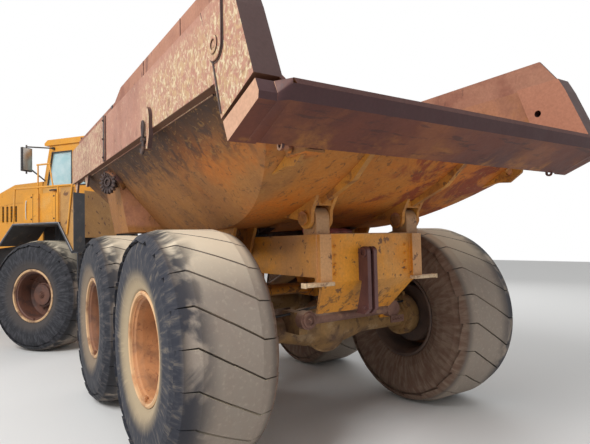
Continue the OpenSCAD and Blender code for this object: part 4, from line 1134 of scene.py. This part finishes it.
@dataclass
class TailFittings:
    """Bolts, pins, lamps and pipes round the rear of the frame."""

    bench: Bench
    plate_x: float = -0.710
    post_y: float = 0.475
    hinge: tuple[float, float] = (-0.615, 1.830)
    knuckle_half: float = 0.062
    ear_gap: float = 0.010
    outer_ear: float = 0.050
    inner_ear: float = 0.030

    def _cross_plate(self) -> None:
        """Bolt heads and weld beads on the cross plate."""
        bench = self.bench
        heads = [bench.bolt((self.plate_x, y, z), (-1, 0, 0), 0.013)
                 for y in (-0.375, 0.375) for z in (1.40, 1.47, 1.54, 1.61)]
        heights = (1.385, 1.50, 1.60, 1.70)
        beads = [bench.tube([(self.plate_x - 0.001, side * 0.428, z) for z in heights], 0.006)
                 for side in (1, -1)]
        lip = bench.tube([(self.plate_x + 0.004, y, 1.7065) for y in (-0.41, -0.1, 0.1, 0.41)], 0.007)
        bench.settle(bench.join([*heads, *beads, lip]), "cross_plate_bolts", "rear_frame", Slot.YELLOW,
                     PLATE_GOLD)

    def _recovery_pin(self) -> None:
        """Bosses beside the bore of the recovery plates and bolt heads at their feet."""
        bench = self.bench
        bosses = [bench.cup((-0.7723, y, 1.56), (-0.7723, y + way * 0.010, 1.56), 0.040, 0.013, 0.0095, 28)
                  for y, way in ((0.1401, 1), (0.0399, -1))]
        feet = [bench.bolt((-0.774, y, 1.13), (0, way, 0), 0.015) for y, way in ((0.1401, 1), (0.0399, -1))]
        bench.settle(bench.join([*bosses, *feet]), "recovery_bosses", "rear_frame", Slot.RUST, TOW_PURPLE)

    def _lamp_bars(self) -> None:
        """Cream covers with end lips over the lamp bars under the posts."""
        bench = self.bench
        cover = bench.block((-0.7725, 0.424, 1.3165), (-0.7100, 0.692, 1.3462), 0.003)
        lip = bench.block((-0.7760, 0.684, 1.3120), (-0.7150, 0.696, 1.3500), 0.002)
        heads = [bench.bolt((-0.7726, y, 1.331), (-1, 0, 0), 0.006) for y in (0.60, 0.66)]
        bench.settle(bench.pair(bench.join([cover, lip, *heads])), "lamp_bar_covers", "rear_frame",
                     Slot.BEIGE, BAR_CREAM)

    def _hinge_pins(self) -> None:
        """Keeper plates over the ends of the tip hinge pins."""
        bench = self.bench
        x, z = self.hinge
        outer = self.post_y + self.knuckle_half + self.ear_gap + self.outer_ear
        inner = self.post_y - self.knuckle_half - self.ear_gap - self.inner_ear
        cap = bench.drum((x, outer, z), (x, outer + 0.012, z), 0.055, 28, 0.003)
        around = ((-0.045, -0.02), (0.045, -0.02), (0.045, 0.02), (-0.045, 0.02))
        corners = [(x + dx, z + dz) for dx, dz in around]
        keeper = bench.plate(corners, outer + 0.0121, outer + 0.020, 0.002)
        heads = [bench.bolt((x + s * 0.030, outer + 0.0201, z), (0, 1, 0), 0.008) for s in (1, -1)]
        inner_cap = bench.drum((x, inner, z), (x, inner - 0.010, z), 0.058, 28, 0.003)
        ring = bench.ring(bench.bolt((x + 0.040, inner - 0.0101, z), (0, -1, 0), 0.007), 4, (x, inner, z))
        bench.settle(bench.pair(bench.join([cap, keeper, *heads, inner_cap, ring])), "tip_hinge_keepers",
                     "bed", Slot.FADED, SLOPE_PAINT)

    def _pipes(self) -> None:
        """Brake pipes along the rear axle and up to the frame."""
        bench = self.bench
        along = [(-0.12, 0.93, 1.02), (-0.15, 0.80, 1.04), (-0.17, 0.55, 1.02), (-0.20, 0.30, 1.08),
                 (-0.24, 0.10, 1.09), (-0.26, -0.10, 1.09), (-0.20, -0.35, 1.06), (-0.17, -0.60, 1.03),
                 (-0.14, -0.82, 1.03), (-0.10, -0.94, 1.03)]
        low = bench.tube(along, 0.011)
        up = [(-0.25, 0.02, 1.09), (-0.30, 0.06, 1.18), (-0.36, 0.20, 1.30), (-0.40, 0.32, 1.42),
              (-0.42, 0.398, 1.50)]
        rise = bench.tube(up, 0.013)
        nut = bench.drum((-0.245, 0.02, 1.065), (-0.245, 0.02, 1.115), 0.022, 6, 0.003)
        bench.settle(bench.join([low, rise, nut]), "brake_pipes", "rear_frame", Slot.IRON, HOSE_BLACK)

    def _rod_plate(self) -> None:
        """Bolted blocks over the ends of the rear axle rod."""
        bench = self.bench
        foot = bench.block((-0.425, -0.625, 0.900), (-0.408, -0.465, 0.962), 0.004)
        heads = [bench.bolt((-0.4255, y, 0.931), (-1, 0, 0), 0.012) for y in (-0.60, -0.565, -0.53, -0.495)]
        eye = bench.cup((-0.409, 0.425, 1.012), (-0.424, 0.425, 1.012), 0.060, 0.014, 0.008, 32)
        pin = bench.bolt((-0.4165, 0.425, 1.012), (-1, 0, 0), 0.020)
        bench.settle(bench.join([foot, *heads, eye, pin]), "axle_rod_ends", "rear_frame", Slot.RUST, ROD_RUST)

    def build(self) -> None:
        """Builds all of them."""
        self._cross_plate()
        self._recovery_pin()
        self._lamp_bars()
        self._hinge_pins()
        self._pipes()
        self._rod_plate()


@dataclass
class BedFittings:
    """Plates, hooks, seams and rings on the outside of the bed."""

    bench: Bench
    half_width: float = 1.600
    pivot: tuple[float, float] = (-1.310, 2.727)

    def _round_foot(self, radius: float) -> list[tuple[float, float]]:
        """The lower half circle round the tailgate pivot.

        Args:
            radius: its radius.

        Returns:
            Points in x and z.
        """
        x, z = self.pivot
        turns = [math.pi + math.pi * i / 14 for i in range(15)]
        return [(x + radius * math.cos(a), z + radius * math.sin(a)) for a in turns]

    def _pivot_plates(self) -> None:
        """Long plates with a round foot over the tailgate pivots, with a boss."""
        bench = self.bench
        x, z = self.pivot
        y = self.half_width
        outline = [*self._round_foot(0.088), (-1.132, 2.978), (-1.398, 2.978)]
        base = bench.plate(outline, y + 0.0003, y + 0.014, 0.003)
        boss = bench.cup((x, y + 0.010, z), (x, y + 0.022, z), 0.050, 0.017, 0.012, 36)
        nut = bench.drum((x, y + 0.010, z), (x, y + 0.0185, z), 0.020, 6, 0.002)
        bench.settle(bench.pair(bench.join([base, boss, nut])), "pivot_cover_plates", "bed", Slot.FADED,
                     RAIL_PAINT)
        shadow = [*self._round_foot(0.098), (-1.122, 2.980), (-1.408, 2.980)]
        seam = bench.plate(shadow, y + 0.0002, y + 0.004, 0.0)
        gap = [(-1.106, 2.984), (-1.260, 2.655), (-1.358, 2.340), (-1.372, 2.340), (-1.274, 2.655),
               (-1.121, 2.984)]
        crevice = bench.plate(gap, y + 0.0002, y + 0.006, 0.0)
        bench.settle(bench.pair(bench.join([seam, crevice])), "pivot_plate_seams", "bed", Slot.RUST,
                     DARK_IRON)

    def _hooks(self) -> None:
        """Hooks that hang in the lifting eyes, with their chain links."""
        bench = self.bench
        y = self.half_width + 0.045
        pin = bench.drum((-0.040, self.half_width - 0.020, 2.445), (-0.040, self.half_width + 0.060, 2.445),
                         0.018, 16)
        eye = [(-0.040, 2.462), (-0.062, 2.50), (-0.066, 2.56), (-0.040, 2.60),
               (-0.014, 2.56), (-0.018, 2.50), (-0.040, 2.462)]
        link = bench.tube([(x, y, z) for x, z in eye], 0.010)
        curl = [(-0.040, 2.458), (-0.052, 2.41), (-0.046, 2.36), (-0.020, 2.34), (0.004, 2.36), (0.004, 2.39)]
        hook = bench.tube([(x, y, z) for x, z in curl], 0.013)
        bench.settle(bench.pair(bench.join([pin, link, hook])), "lifting_hooks", "bed", Slot.RUST, DARK_IRON)

    def _straps(self) -> None:
        """Dark straps over the rail and the guard, and the weld seams of the guard plates."""
        bench = self.bench
        y = self.half_width
        strap = bench.block((1.474, y + 0.012, 2.520), (1.534, y + 0.019, 2.992), 0.002)
        bolts = [bench.bolt((1.504, y + 0.0191, z), (0, 1, 0), 0.011) for z in (2.56, 2.75, 2.94)]
        high = bench.block((1.474, 1.5252, 2.990), (1.534, 1.534, 3.108), 0.002)
        bench.settle(bench.pair(bench.join([strap, high, *bolts])), "rail_straps", "bed", Slot.RUST,
                     DARK_IRON)
        beads = [bench.tube([(x, 1.526, 2.99), (x, 1.526, 3.05), (x, 1.526, top)], 0.006, False)
                 for x, top in ((-0.55, 3.195), (0.35, 3.195), (2.35, 3.110), (2.95, 3.110))]
        long_bead = bench.tube([(-1.42, 1.528, 2.9885), (0.9, 1.528, 2.9885), (3.45, 1.528, 2.9885)], 0.006,
                               False)
        bench.settle(bench.pair(bench.join([*beads, long_bead])), "guard_seams", "bed", Slot.RUST, GUARD_RUST)
        under = bench.tube([(-1.22, 1.594, 2.527), (1.0, 1.594, 2.527), (3.62, 1.594, 2.527)], 0.006, False)
        inner = bench.tube([(-1.10, 1.5285, 2.523), (1.0, 1.5285, 2.523), (3.40, 1.5285, 2.523)], 0.007,
                           False)
        bench.settle(bench.pair(bench.join([under, inner])), "rail_seams", "bed", Slot.FADED, RAIL_PAINT)

    def _duct_rings(self) -> None:
        """Rings of wedges and bolts on the round flanges of the side stiffeners."""
        bench = self.bench
        bend = bench.tube([(1.880, 1.402, 2.385), (1.880, 1.432, 2.352), (1.868, 1.462, 2.350),
                           (1.852, 1.490, 2.350)], 0.070)
        swing, lay = Matrix.Rotation(math.radians(27), 4, "Z"), Matrix.Rotation(math.radians(-90), 4, "X")
        disc = bench.cup((0, 0, -0.016), (0, 0, 0.012), 0.106, 0.030, 0.010, 40)
        core = bench.cup((0, 0, -0.010), (0, 0, 0.022), 0.050, 0.014, 0.018, 28)
        first = bench.block((0.080, -0.011, -0.018), (0.128, 0.011, 0.022), 0.004)
        wedges = bench.ring(first, 16, (0, 0, 0), "Z")
        neck = bench.ring(bench.bolt((0.064, 0, 0.0), (0, 0, 1), 0.006), 8, (0, 0, 0), "Z")
        ring = bench.join([disc, core, wedges, neck])
        ring.matrix_world = Matrix.Translation((1.848, 1.497, 2.350)) @ swing @ lay
        bench.apply(ring)
        bench.settle(bench.pair(bench.join([ring, bend])), "duct_rings", "bed", Slot.RUST, DARK_IRON)

    def _runners(self) -> None:
        """Long beams with rubber pads that rest the bed on the rails of the frame."""
        bench = self.bench
        beam = bench.block((0.235, 0.418, 1.7300), (2.580, 0.532, 1.7848), 0.004)
        ends = [bench.plate([(x, 1.7848), (x + way * 0.16, 1.7848), (x, 1.7320)], 0.430, 0.520, 0.003)
                for x, way in ((0.236, -1), (2.579, 1))]
        bench.settle(bench.pair(bench.join([beam, *ends])), "bed_runners", "bed", Slot.RUST, DARK_IRON)
        pads = [bench.block((x, 0.408, 1.7056), (x + 0.30, 0.542, 1.7299), 0.004)
                for x in (0.26, 0.80, 1.34, 1.88, 2.27)]
        bench.settle(bench.pair(bench.join(pads)), "runner_pads", "bed", Slot.DARK, HOSE_BLACK)

    def _beam_corners(self) -> None:
        """Folded plates that carry the tail beam round to its end caps."""
        bench = self.bench
        near = [(-1.8212, 2.4255), (-1.8212, 2.3990), (-1.7912, 2.3240), (-1.4820, 2.1765), (-1.4500, 2.3300)]
        far = [(-1.7490, 2.4195), (-1.7795, 2.3525), (-1.7735, 2.3155), (-1.4405, 2.1780), (-1.4200, 2.3000)]
        piece = bench.plate(near, 1.4370, 1.5000, 0.0)
        for vertex in piece.data.vertices:
            if vertex.co.y > 1.47:
                gaps = [math.hypot(vertex.co.x - x, vertex.co.z - z) for x, z in near]
                vertex.co.x, vertex.co.z = far[gaps.index(min(gaps))]
        bench.soften(piece, 0.004)
        bench.settle(bench.pair(piece), "beam_corners", "bed", Slot.RUST, BEAM_RUST)

    def _tail_box(self) -> None:
        """Open box with a round boss under the left of the chute."""
        bench = self.bench
        shell = bench.block((-1.44, 0.98, 2.165), (-1.22, 1.12, 2.255), 0.006)
        for face in shell.data.polygons:
            face.select = face.normal.x < -0.99
        bench.push_in(0.012, (0.15, 0, 0))
        ear = bench.drum((-1.30, 1.135, 2.20), (-1.30, 1.160, 2.20), 0.026, 20)
        bench.settle(bench.join([shell, ear]), "chute_box", "bed", Slot.FADED, SLOPE_PAINT)

    def build(self) -> None:
        """Builds all of them."""
        self._pivot_plates()
        self._hooks()
        self._straps()
        self._duct_rings()
        self._tail_box()
        self._runners()
        self._beam_corners()


@dataclass
class CabFittings:
    """Seat, steering column, window rubbers, wipers and handles of the cab."""

    bench: Bench
    start: float = 0.320
    length: float = 1.480
    half_width: float = 0.820
    floor: float = 2.175
    belt: float = 2.750
    roof: float = 3.600
    side_pull: float = 0.05
    seam_depth: float = 0.008

    def _cushion(self, low: Point, high: Point, crown: float) -> bpy.types.Object:
        """A crowned cushion with sides that pull in between its corners.

        Args:
            low: lowest corner.
            high: highest corner.
            crown: how far its faces swell.

        Returns:
            The cushion.
        """
        piece = self.bench.cube(low, high)
        bpy.ops.object.mode_set(mode="EDIT")
        bpy.ops.mesh.select_all(action="SELECT")
        bpy.ops.mesh.subdivide(number_cuts=9)
        bpy.ops.object.mode_set(mode="OBJECT")
        middle = [(a + b) / 2 for a, b in zip(low, high)]
        size = [b - a for a, b in zip(low, high)]
        thin = size.index(min(size))
        others = [i for i in range(3) if i != thin]
        for vertex in piece.data.vertices:
            share = [2 * (vertex.co[i] - middle[i]) / size[i] for i in range(3)]
            if abs(share[thin]) > 0.98:
                dome = (1 - share[others[0]] ** 2) * (1 - share[others[1]] ** 2)
                vertex.co[thin] += math.copysign(crown * dome, share[thin]) * (1 if share[thin] > 0 else 0.2)
            for i in others:
                if abs(share[i]) > 0.98:
                    pull = self.side_pull * size[i] * (1 - share[3 - i - thin] ** 2)
                    vertex.co[i] -= math.copysign(pull, share[i])
            seam = abs(abs(share[others[1]]) - 0.40) < 0.06
            if seam and share[thin] > 0.9:
                vertex.co[thin] -= self.seam_depth
        smooth = piece.modifiers.new("round", "SUBSURF")
        smooth.levels = smooth.render_levels = 1
        bpy.context.view_layer.objects.active = piece
        bpy.ops.object.modifier_apply(modifier=smooth.name)
        return piece

    def _seat(self) -> None:
        """Replaces the plain seat by its base with bellows and back shell, and adds its two cushions."""
        bench = self.bench
        x0 = self.start
        pan = bench.block((x0 + 0.33, -0.235, self.floor + 0.34), (x0 + 0.76, 0.235, self.floor + 0.38),
                          0.008)
        foot = bench.block((x0 + 0.36, -0.20, self.floor + 0.001), (x0 + 0.66, 0.20, self.floor + 0.05),
                           0.008)
        folds = [bench.block((x0 + 0.37 + d, -0.17 + d, self.floor + 0.05 + i * 0.056),
                             (x0 + 0.65 - d, 0.17 - d, self.floor + 0.106 + i * 0.056), 0.02)
                 for i, d in enumerate((0.0, 0.02, 0.0, 0.02, 0.0))]
        outline = [(0.235, 1.03), (0.262, 1.035), (0.355, 0.40), (0.325, 0.36), (0.28, 0.40)]
        shell = bench.plate([(x0 + x, self.floor + z) for x, z in outline], -0.23, 0.23, 0.008)
        base = bench.join([pan, foot, *folds, shell])
        bench.settle(base, "seat_base", "tractor", Slot.SEAT, MACHINE_BLACK)
        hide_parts("cab_seat")
        pad = self._cushion((x0 + 0.32, -0.235, self.floor + 0.381), (x0 + 0.765, 0.235, self.floor + 0.44),
                            0.014)
        bench.settle(pad, "seat_cushion", "tractor", Slot.SEAT, SEAT_CLOTH, 60)
        back = self._cushion((x0 + 0.262, -0.22, self.floor + 0.46), (x0 + 0.325, 0.22, self.floor + 1.02),
                             0.010)
        there = Matrix.Translation((x0 + 0.30, 0, self.floor + 0.46))
        lean = Matrix.Rotation(math.radians(-5), 4, "Y")
        back.matrix_world = there @ lean @ Matrix.Translation((-x0 - 0.285, 0, -self.floor - 0.455))
        bench.apply(back)
        bench.settle(back, "seat_back_cushion", "tractor", Slot.SEAT, SEAT_CLOTH, 60)

    def _wheel(self) -> None:
        """Steering column and wheel ahead of the seat."""
        bench = self.bench
        post = bench.tube([(1.50, 0, self.floor + 0.001), (1.47, 0, 2.45), (1.40, 0, 2.78), (1.385, 0, 2.83)],
                          0.035)
        bench.clear()
        bpy.ops.mesh.primitive_torus_add(major_radius=0.19, minor_radius=0.013, major_segments=40,
                                         minor_segments=10, location=(1.375, 0, 2.86))
        rim = bpy.context.active_object
        rim.rotation_euler = (0, math.radians(-22), 0)
        bench.apply(rim)
        boss = bench.drum((1.389, 0, 2.825), (1.369, 0, 2.872), 0.040, 24)
        reaches = [(0.18 * math.cos(a), 0.185 * math.sin(a), 0.072 * math.cos(a)) for a in (0.5, 2.6, 4.71)]
        spokes = [bench.tube([(1.378, 0, 2.855), (1.378 + x, y, 2.855 + z)], 0.011, False)
                  for x, y, z in reaches]
        outline = [(1.52, 2.52), (1.70, 2.52), (1.70, 2.70), (1.62, 2.755), (1.54, 2.70)]
        dash = bench.plate(outline, -0.55, 0.55, 0.012)
        dials = [bench.cup((1.545, y, 2.655), (1.528, y, 2.664), 0.040, 0.006, 0.004, 24)
                 for y in (-0.12, 0.0, 0.12)]
        bench.settle(bench.join([post, rim, boss, *spokes, dash, *dials]), "steering_wheel", "tractor",
                     Slot.BLACK, MACHINE_BLACK)

    def _rubbers(self) -> None:
        """Rubber strips round the side windows and the windscreen."""
        bench = self.bench
        y = self.half_width + 0.001
        x0, end, top = self.start, self.start + self.length, self.roof - 0.230
        front = [(x0 + 0.780, self.belt), (end - 0.130, self.belt), (end - 0.255, top), (x0 + 0.780, top)]
        rear = [(x0 + 0.100, self.belt), (x0 + 0.610, self.belt), (x0 + 0.610, top), (x0 + 0.100, top)]
        strips = []
        for outline, sides in ((front, (1,)), (rear, (1, -1))):
            loop = [*outline, outline[0]]
            for side in sides:
                strips.append(bench.tube([(x, side * y, z) for x, z in loop], 0.014, False))
        screen = [(end - 0.024, -0.705, self.belt + 0.045), (end - 0.024, 0.705, self.belt + 0.045),
                  (end - 0.155, 0.705, 3.395), (end - 0.155, -0.705, 3.395)]
        strips.append(bench.tube([*screen, screen[0]], 0.014, False))
        bench.settle(bench.join(strips), "window_rubbers", "tractor", Slot.BLACK, MACHINE_BLACK)
        arm = bench.tube([(end - 0.015, -0.10, 2.775), (end - 0.020, 0.02, 2.90), (end - 0.055, 0.25, 3.10)],
                         0.008)
        blade = bench.tube([(end - 0.038, 0.10, 2.93), (end - 0.065, 0.27, 3.11), (end - 0.090, 0.44, 3.29)],
                           0.006)
        pivot = bench.drum((end - 0.030, -0.10, 2.765), (end - 0.004, -0.10, 2.775), 0.020, 16)
        bench.settle(bench.join([arm, blade, pivot]), "wiper", "tractor", Slot.BLACK, MACHINE_BLACK)

    def _outside(self) -> None:
        """Roof lamps, roof seams, the door's handle and lock, and its window rubber."""
        bench = self.bench
        end = self.start + self.length
        shells = [bench.cup((end - 0.140, y, 3.548), (end - 0.090, y, 3.545), 0.045, 0.006, 0.010, 24)
                  for y in (-0.62, 0.62)]
        bench.settle(bench.join(shells), "roof_lamps", "tractor", Slot.BLACK, MACHINE_BLACK)
        ribs = [bench.tube([(self.start + 0.05, y, 3.5985), (self.start + 0.7, y, 3.5985),
                            (end - 0.20, y, 3.5985)], 0.0012, False)
                for y in (-0.5, -0.17, 0.17, 0.5)]
        bench.settle(bench.join(ribs), "roof_seams", "tractor", Slot.YELLOW, CAB_PAINT)
        grip = bench.tube([(1.54, -0.8195, 2.60), (1.54, -0.838, 2.61), (1.54, -0.838, 2.72),
                           (1.54, -0.8195, 2.73)], 0.008)
        lock = bench.drum((1.60, -0.820, 2.665), (1.60, -0.832, 2.665), 0.016, 16)
        bench.settle(bench.join([grip, lock]), "door_handle", "cab_door", Slot.BLACK, MACHINE_BLACK)
        corners = [(1.06, 2.79), (1.555, 2.79), (1.435, 3.30), (1.06, 3.30), (1.06, 2.79)]
        rubber = bench.tube([(x, -0.822, z) for x, z in corners], 0.012, False)
        bench.settle(rubber, "door_rubber", "cab_door", Slot.BLACK, MACHINE_BLACK)

    def build(self) -> None:
        """Builds all of them."""
        self._seat()
        self._wheel()
        self._rubbers()
        self._outside()


@dataclass
class TractorFittings:
    """Tank, fender, hood, lamp, step and mirror fittings of the tractor."""

    bench: Bench
    tank_bands: tuple[float, float] = (0.700, 1.180)
    mirror_x: float = 1.650
    nose: float = 4.080

    def _tank(self) -> None:
        """Filler cap, straps with their bolts, and sight tube of the side tank."""
        bench = self.bench
        cap = bench.drum((0.820, 1.480, 2.5705), (0.820, 1.480, 2.592), 0.068, 24, 0.006)
        grip = bench.block((0.765, 1.472, 2.5925), (0.875, 1.488, 2.604), 0.003)
        heads = [bench.bolt((x + 0.025, 1.5701, z), (0, 1, 0), 0.010) for x in self.tank_bands
                 for z in (2.12, 2.48)]
        bench.settle(bench.join([cap, grip, *heads]), "tank_filler", "tractor", Slot.BLACK, MACHINE_BLACK)
        bands = [bench.block((x - 0.003, 1.5645, 2.062), (x + 0.053, 1.5695, 2.530), 0.002)
                 for x in self.tank_bands]
        bench.settle(bench.join(bands), "tank_straps", "tractor", Slot.BLACK, MACHINE_BLACK)
        sight = bench.tube([(1.32, 1.565, 2.12), (1.32, 1.585, 2.15), (1.32, 1.585, 2.40),
                            (1.32, 1.565, 2.43)], 0.008)
        bench.settle(sight, "tank_sight_tube", "tractor", Slot.GLASS, LAMP_LENS)

    def _fenders(self) -> None:
        """Edge strips of the fenders and studs of the mud flaps."""
        bench = self.bench
        line = [(0.310, 1.590), (0.592, 2.050), (1.563, 2.050), (1.876, 1.716), (1.955, 1.716)]
        edge = bench.tube([(x, 1.612, z) for x, z in line], 0.010, False)
        bench.settle(bench.pair(edge), "fender_edges", "tractor", Slot.DARK, SCREEN_EDGE)
        studs = [bench.bolt((0.2045, y, 1.545), (-1, 0, 0), 0.010) for y in (1.02, 1.16, 1.30, 1.44, 1.57)]
        strip = bench.block((0.198, 0.975, 1.525), (0.2046, 1.600, 1.565), 0.002)
        bench.settle(bench.pair(bench.join([*studs, strip])), "flap_studs", "tractor", Slot.DARK,
                     MACHINE_BLACK)

    def _hood(self) -> None:
        """Louvre slats, latches and seams on the hood."""
        bench = self.bench
        slats = []
        for x in [2.500 + i * 0.110 for i in range(6)]:
            for z in (2.19, 2.25, 2.31, 2.37, 2.43):
                corners = [(x - 0.004, z), (x + 0.059, z), (x + 0.059, z + 0.006), (x - 0.004, z + 0.006)]
                slats.append(bench.plate(corners, 0.7235, 0.7465, 0.001))
        bench.settle(bench.pair(bench.join(slats)), "hood_slats", "hood", Slot.BLACK, MACHINE_BLACK)
        latch = bench.block((1.93, 0.7505, 1.95), (1.99, 0.764, 2.07), 0.005)
        pull = bench.tube([(1.96, 0.764, 1.97), (1.96, 0.778, 1.98), (1.96, 0.778, 2.03),
                           (1.96, 0.764, 2.04)], 0.006)
        seam = bench.tube([(1.90, 0.7505, 2.50), (2.60, 0.7505, 2.50), (3.90, 0.7505, 2.30)], 0.005, False)
        bench.settle(bench.pair(bench.join([latch, pull, seam])), "hood_latches", "hood", Slot.YELLOW,
                     HOOD_PAINT)

    def _front(self) -> None:
        """Wires of the grille and bezels of the head lamps."""
        bench = self.bench
        bars = [bench.tube([(self.nose - 0.028, y, 1.645), (self.nose - 0.028, y, 2.265)], 0.004, False)
                for y in [i * 0.055 - 0.4675 for i in range(18)]]
        bench.settle(bench.join(bars), "grille_wires", "hood", Slot.BLACK, MACHINE_BLACK)
        bezels = [bench.cup((self.nose + 0.0603, y, 1.180), (self.nose + 0.0785, y, 1.180), 0.094, 0.013,
                            0.0175, 36)
                  for y in (0.760, 0.960)]
        bench.settle(bench.pair(bench.join(bezels)), "lamp_bezels", "tractor", Slot.BLACK, MACHINE_BLACK)

    def _hinge_hoses(self) -> None:
        """Clamped pipe ends on the tractor side of the hinge."""
        bench = self.bench
        ends = [bench.drum((0.6995, y, 1.05), (0.640, y, 1.05), 0.020, 6, 0.003) for y in (-0.12, 0.0, 0.12)]
        bench.settle(bench.join(ends), "pipe_ends", "tractor", Slot.IRON, DARK_IRON)

    def _steps(self) -> None:
        """Raised grip bars on the ladder's treads."""
        bench = self.bench
        steps, bars = (0.44, 0.76, 1.08, 1.40, 1.70), [i * 0.035 for i in range(10)]
        grips = [bench.block((2.07 + d, -1.552, z + 0.0205), (2.082 + d, -1.308, z + 0.026), 0.001)
                 for z in steps for d in bars]
        bench.settle(bench.join(grips), "tread_grips", "tractor", Slot.DARK, MACHINE_BLACK)

    def _mirrors(self) -> None:
        """Glasses of the mirrors."""
        bench = self.bench
        x = self.mirror_x
        face = bench.block((x - 0.006, 1.170, 3.000), (x - 0.0003, 1.345, 3.380), 0.002)
        bench.settle(bench.pair(face), "mirror_glasses", "tractor", Slot.GLASS, ROD_STEEL)

    def build(self) -> None:
        """Builds all of them."""
        self._tank()
        self._fenders()
        self._hood()
        self._front()
        self._hinge_hoses()
        self._steps()
        self._mirrors()


@dataclass(frozen=True)
class SoftLamp:
    """A large square lamp aimed at the truck's middle."""

    name: str
    place: Point
    watts: float
    size: float

    def hang(self) -> None:
        """Adds the lamp to the scene."""
        data = bpy.data.lights.new(self.name, "AREA")
        data.energy, data.size = self.watts, self.size
        lamp = bpy.data.objects.new(self.name, data)
        lamp.location = self.place
        lamp.rotation_mode = "QUATERNION"
        lamp.rotation_quaternion = (Vector((0, 0, 1.5)) - Vector(self.place)).to_track_quat("-Z", "Y")
        bpy.context.scene.collection.objects.link(lamp)


@dataclass
class Studio:
    """The floor, the lamps and the camera at the photograph's place."""

    camera_at: tuple[float, float, float] = (-3.715, 2.665, 1.653)
    yaw: float = 32.75
    pitch: float = 2.34
    roll: float = -1.315
    focal: float = 488.0
    sensor: float = 36.0
    floor_size: float = 60.0
    sky: float = 0.52
    key: SoftLamp = SoftLamp("key", (-7.0, 9.0, 10.5), 1500.0, 5.0)
    fill: SoftLamp = SoftLamp("fill", (4.0, -11.0, 8.0), 300.0, 8.0)

    def camera(self) -> None:
        """Sets the camera where the photograph was taken from."""
        data = bpy.data.cameras.new("camera")
        data.sensor_width = self.sensor
        data.lens = self.focal / PHOTO_WIDTH * self.sensor
        data.clip_end = 300.0
        camera = bpy.data.objects.new("camera", data)
        bpy.context.scene.collection.objects.link(camera)
        yaw, pitch, roll = (math.radians(v) for v in (-self.yaw, self.pitch, self.roll))
        forward = Vector((math.cos(yaw) * math.cos(pitch), math.sin(yaw) * math.cos(pitch), math.sin(pitch)))
        right = forward.cross(Vector((0, 0, 1))).normalized()
        up = right.cross(forward)
        turned = right * math.cos(roll) + up * math.sin(roll)
        above = up * math.cos(roll) - right * math.sin(roll)
        matrix = Matrix((turned, above, -forward)).transposed().to_4x4()
        matrix.translation = Vector(self.camera_at) - ORIGIN
        camera.matrix_world = matrix
        bpy.context.scene.camera = camera

    def floor(self) -> None:
        """Lays a plain pale floor that shows white to the camera far off and keeps the shadow."""
        bpy.ops.mesh.primitive_plane_add(size=self.floor_size, location=(0, 0, -0.002))
        floor = bpy.context.active_object
        floor.name = "studio_floor"
        graph = Graph("studio_floor", Space.REAR)
        graph.shader.inputs["Base Color"].default_value = (0.78, 0.78, 0.77, 1)
        graph.shader.inputs["Roughness"].default_value = 0.9
        floor.data.materials.append(graph.material)

    def lamps(self) -> None:
        """Lights the truck with a soft sky and two large soft lamps."""
        world = bpy.data.worlds.new("studio")
        world.use_nodes = True
        bpy.context.scene.world = world
        tree = world.node_tree
        sky = tree.nodes["Background"]
        sky.inputs["Color"].default_value = (1.0, 1.0, 1.0, 1)
        sky.inputs["Strength"].default_value = self.sky
        seen = tree.nodes.new("ShaderNodeBackground")
        seen.inputs["Color"].default_value = (1, 1, 1, 1)
        seen.inputs["Strength"].default_value = 1.0
        path = tree.nodes.new("ShaderNodeLightPath")
        most = path.outputs["Is Camera Ray"]
        for name in ("Is Glossy Ray", "Is Transmission Ray"):
            node = tree.nodes.new("ShaderNodeMath")
            node.operation = "MAXIMUM"
            tree.links.new(most, node.inputs[0])
            tree.links.new(path.outputs[name], node.inputs[1])
            most = node.outputs[0]
        mix = tree.nodes.new("ShaderNodeMixShader")
        tree.links.new(most, mix.inputs[0])
        tree.links.new(sky.outputs[0], mix.inputs[1])
        tree.links.new(seen.outputs[0], mix.inputs[2])
        tree.links.new(mix.outputs[0], tree.nodes["World Output"].inputs[0])
        self.key.hang()
        self.fill.hang()


def main() -> None:
    """Dresses the truck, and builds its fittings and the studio."""
    logging.basicConfig(level=logging.INFO, format="%(message)s")
    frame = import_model()
    bpy.ops.object.select_all(action="DESELECT")
    bpy.context.scene.view_settings.view_transform = "Standard"
    shop = PaintShop()
    parts = CarriedParts(frame, shop)
    parts.sort()
    parts.dress()
    WheelFittings(shop).build()
    TailFittings(Bench(shop, Space.REAR)).build()
    BedFittings(Bench(shop, Space.REAR)).build()
    CabFittings(Bench(shop, Space.TRACTOR)).build()
    TractorFittings(Bench(shop, Space.TRACTOR)).build()
    studio = Studio()
    studio.camera()
    studio.floor()
    studio.lamps()


if __name__ == "__main__":
    main()
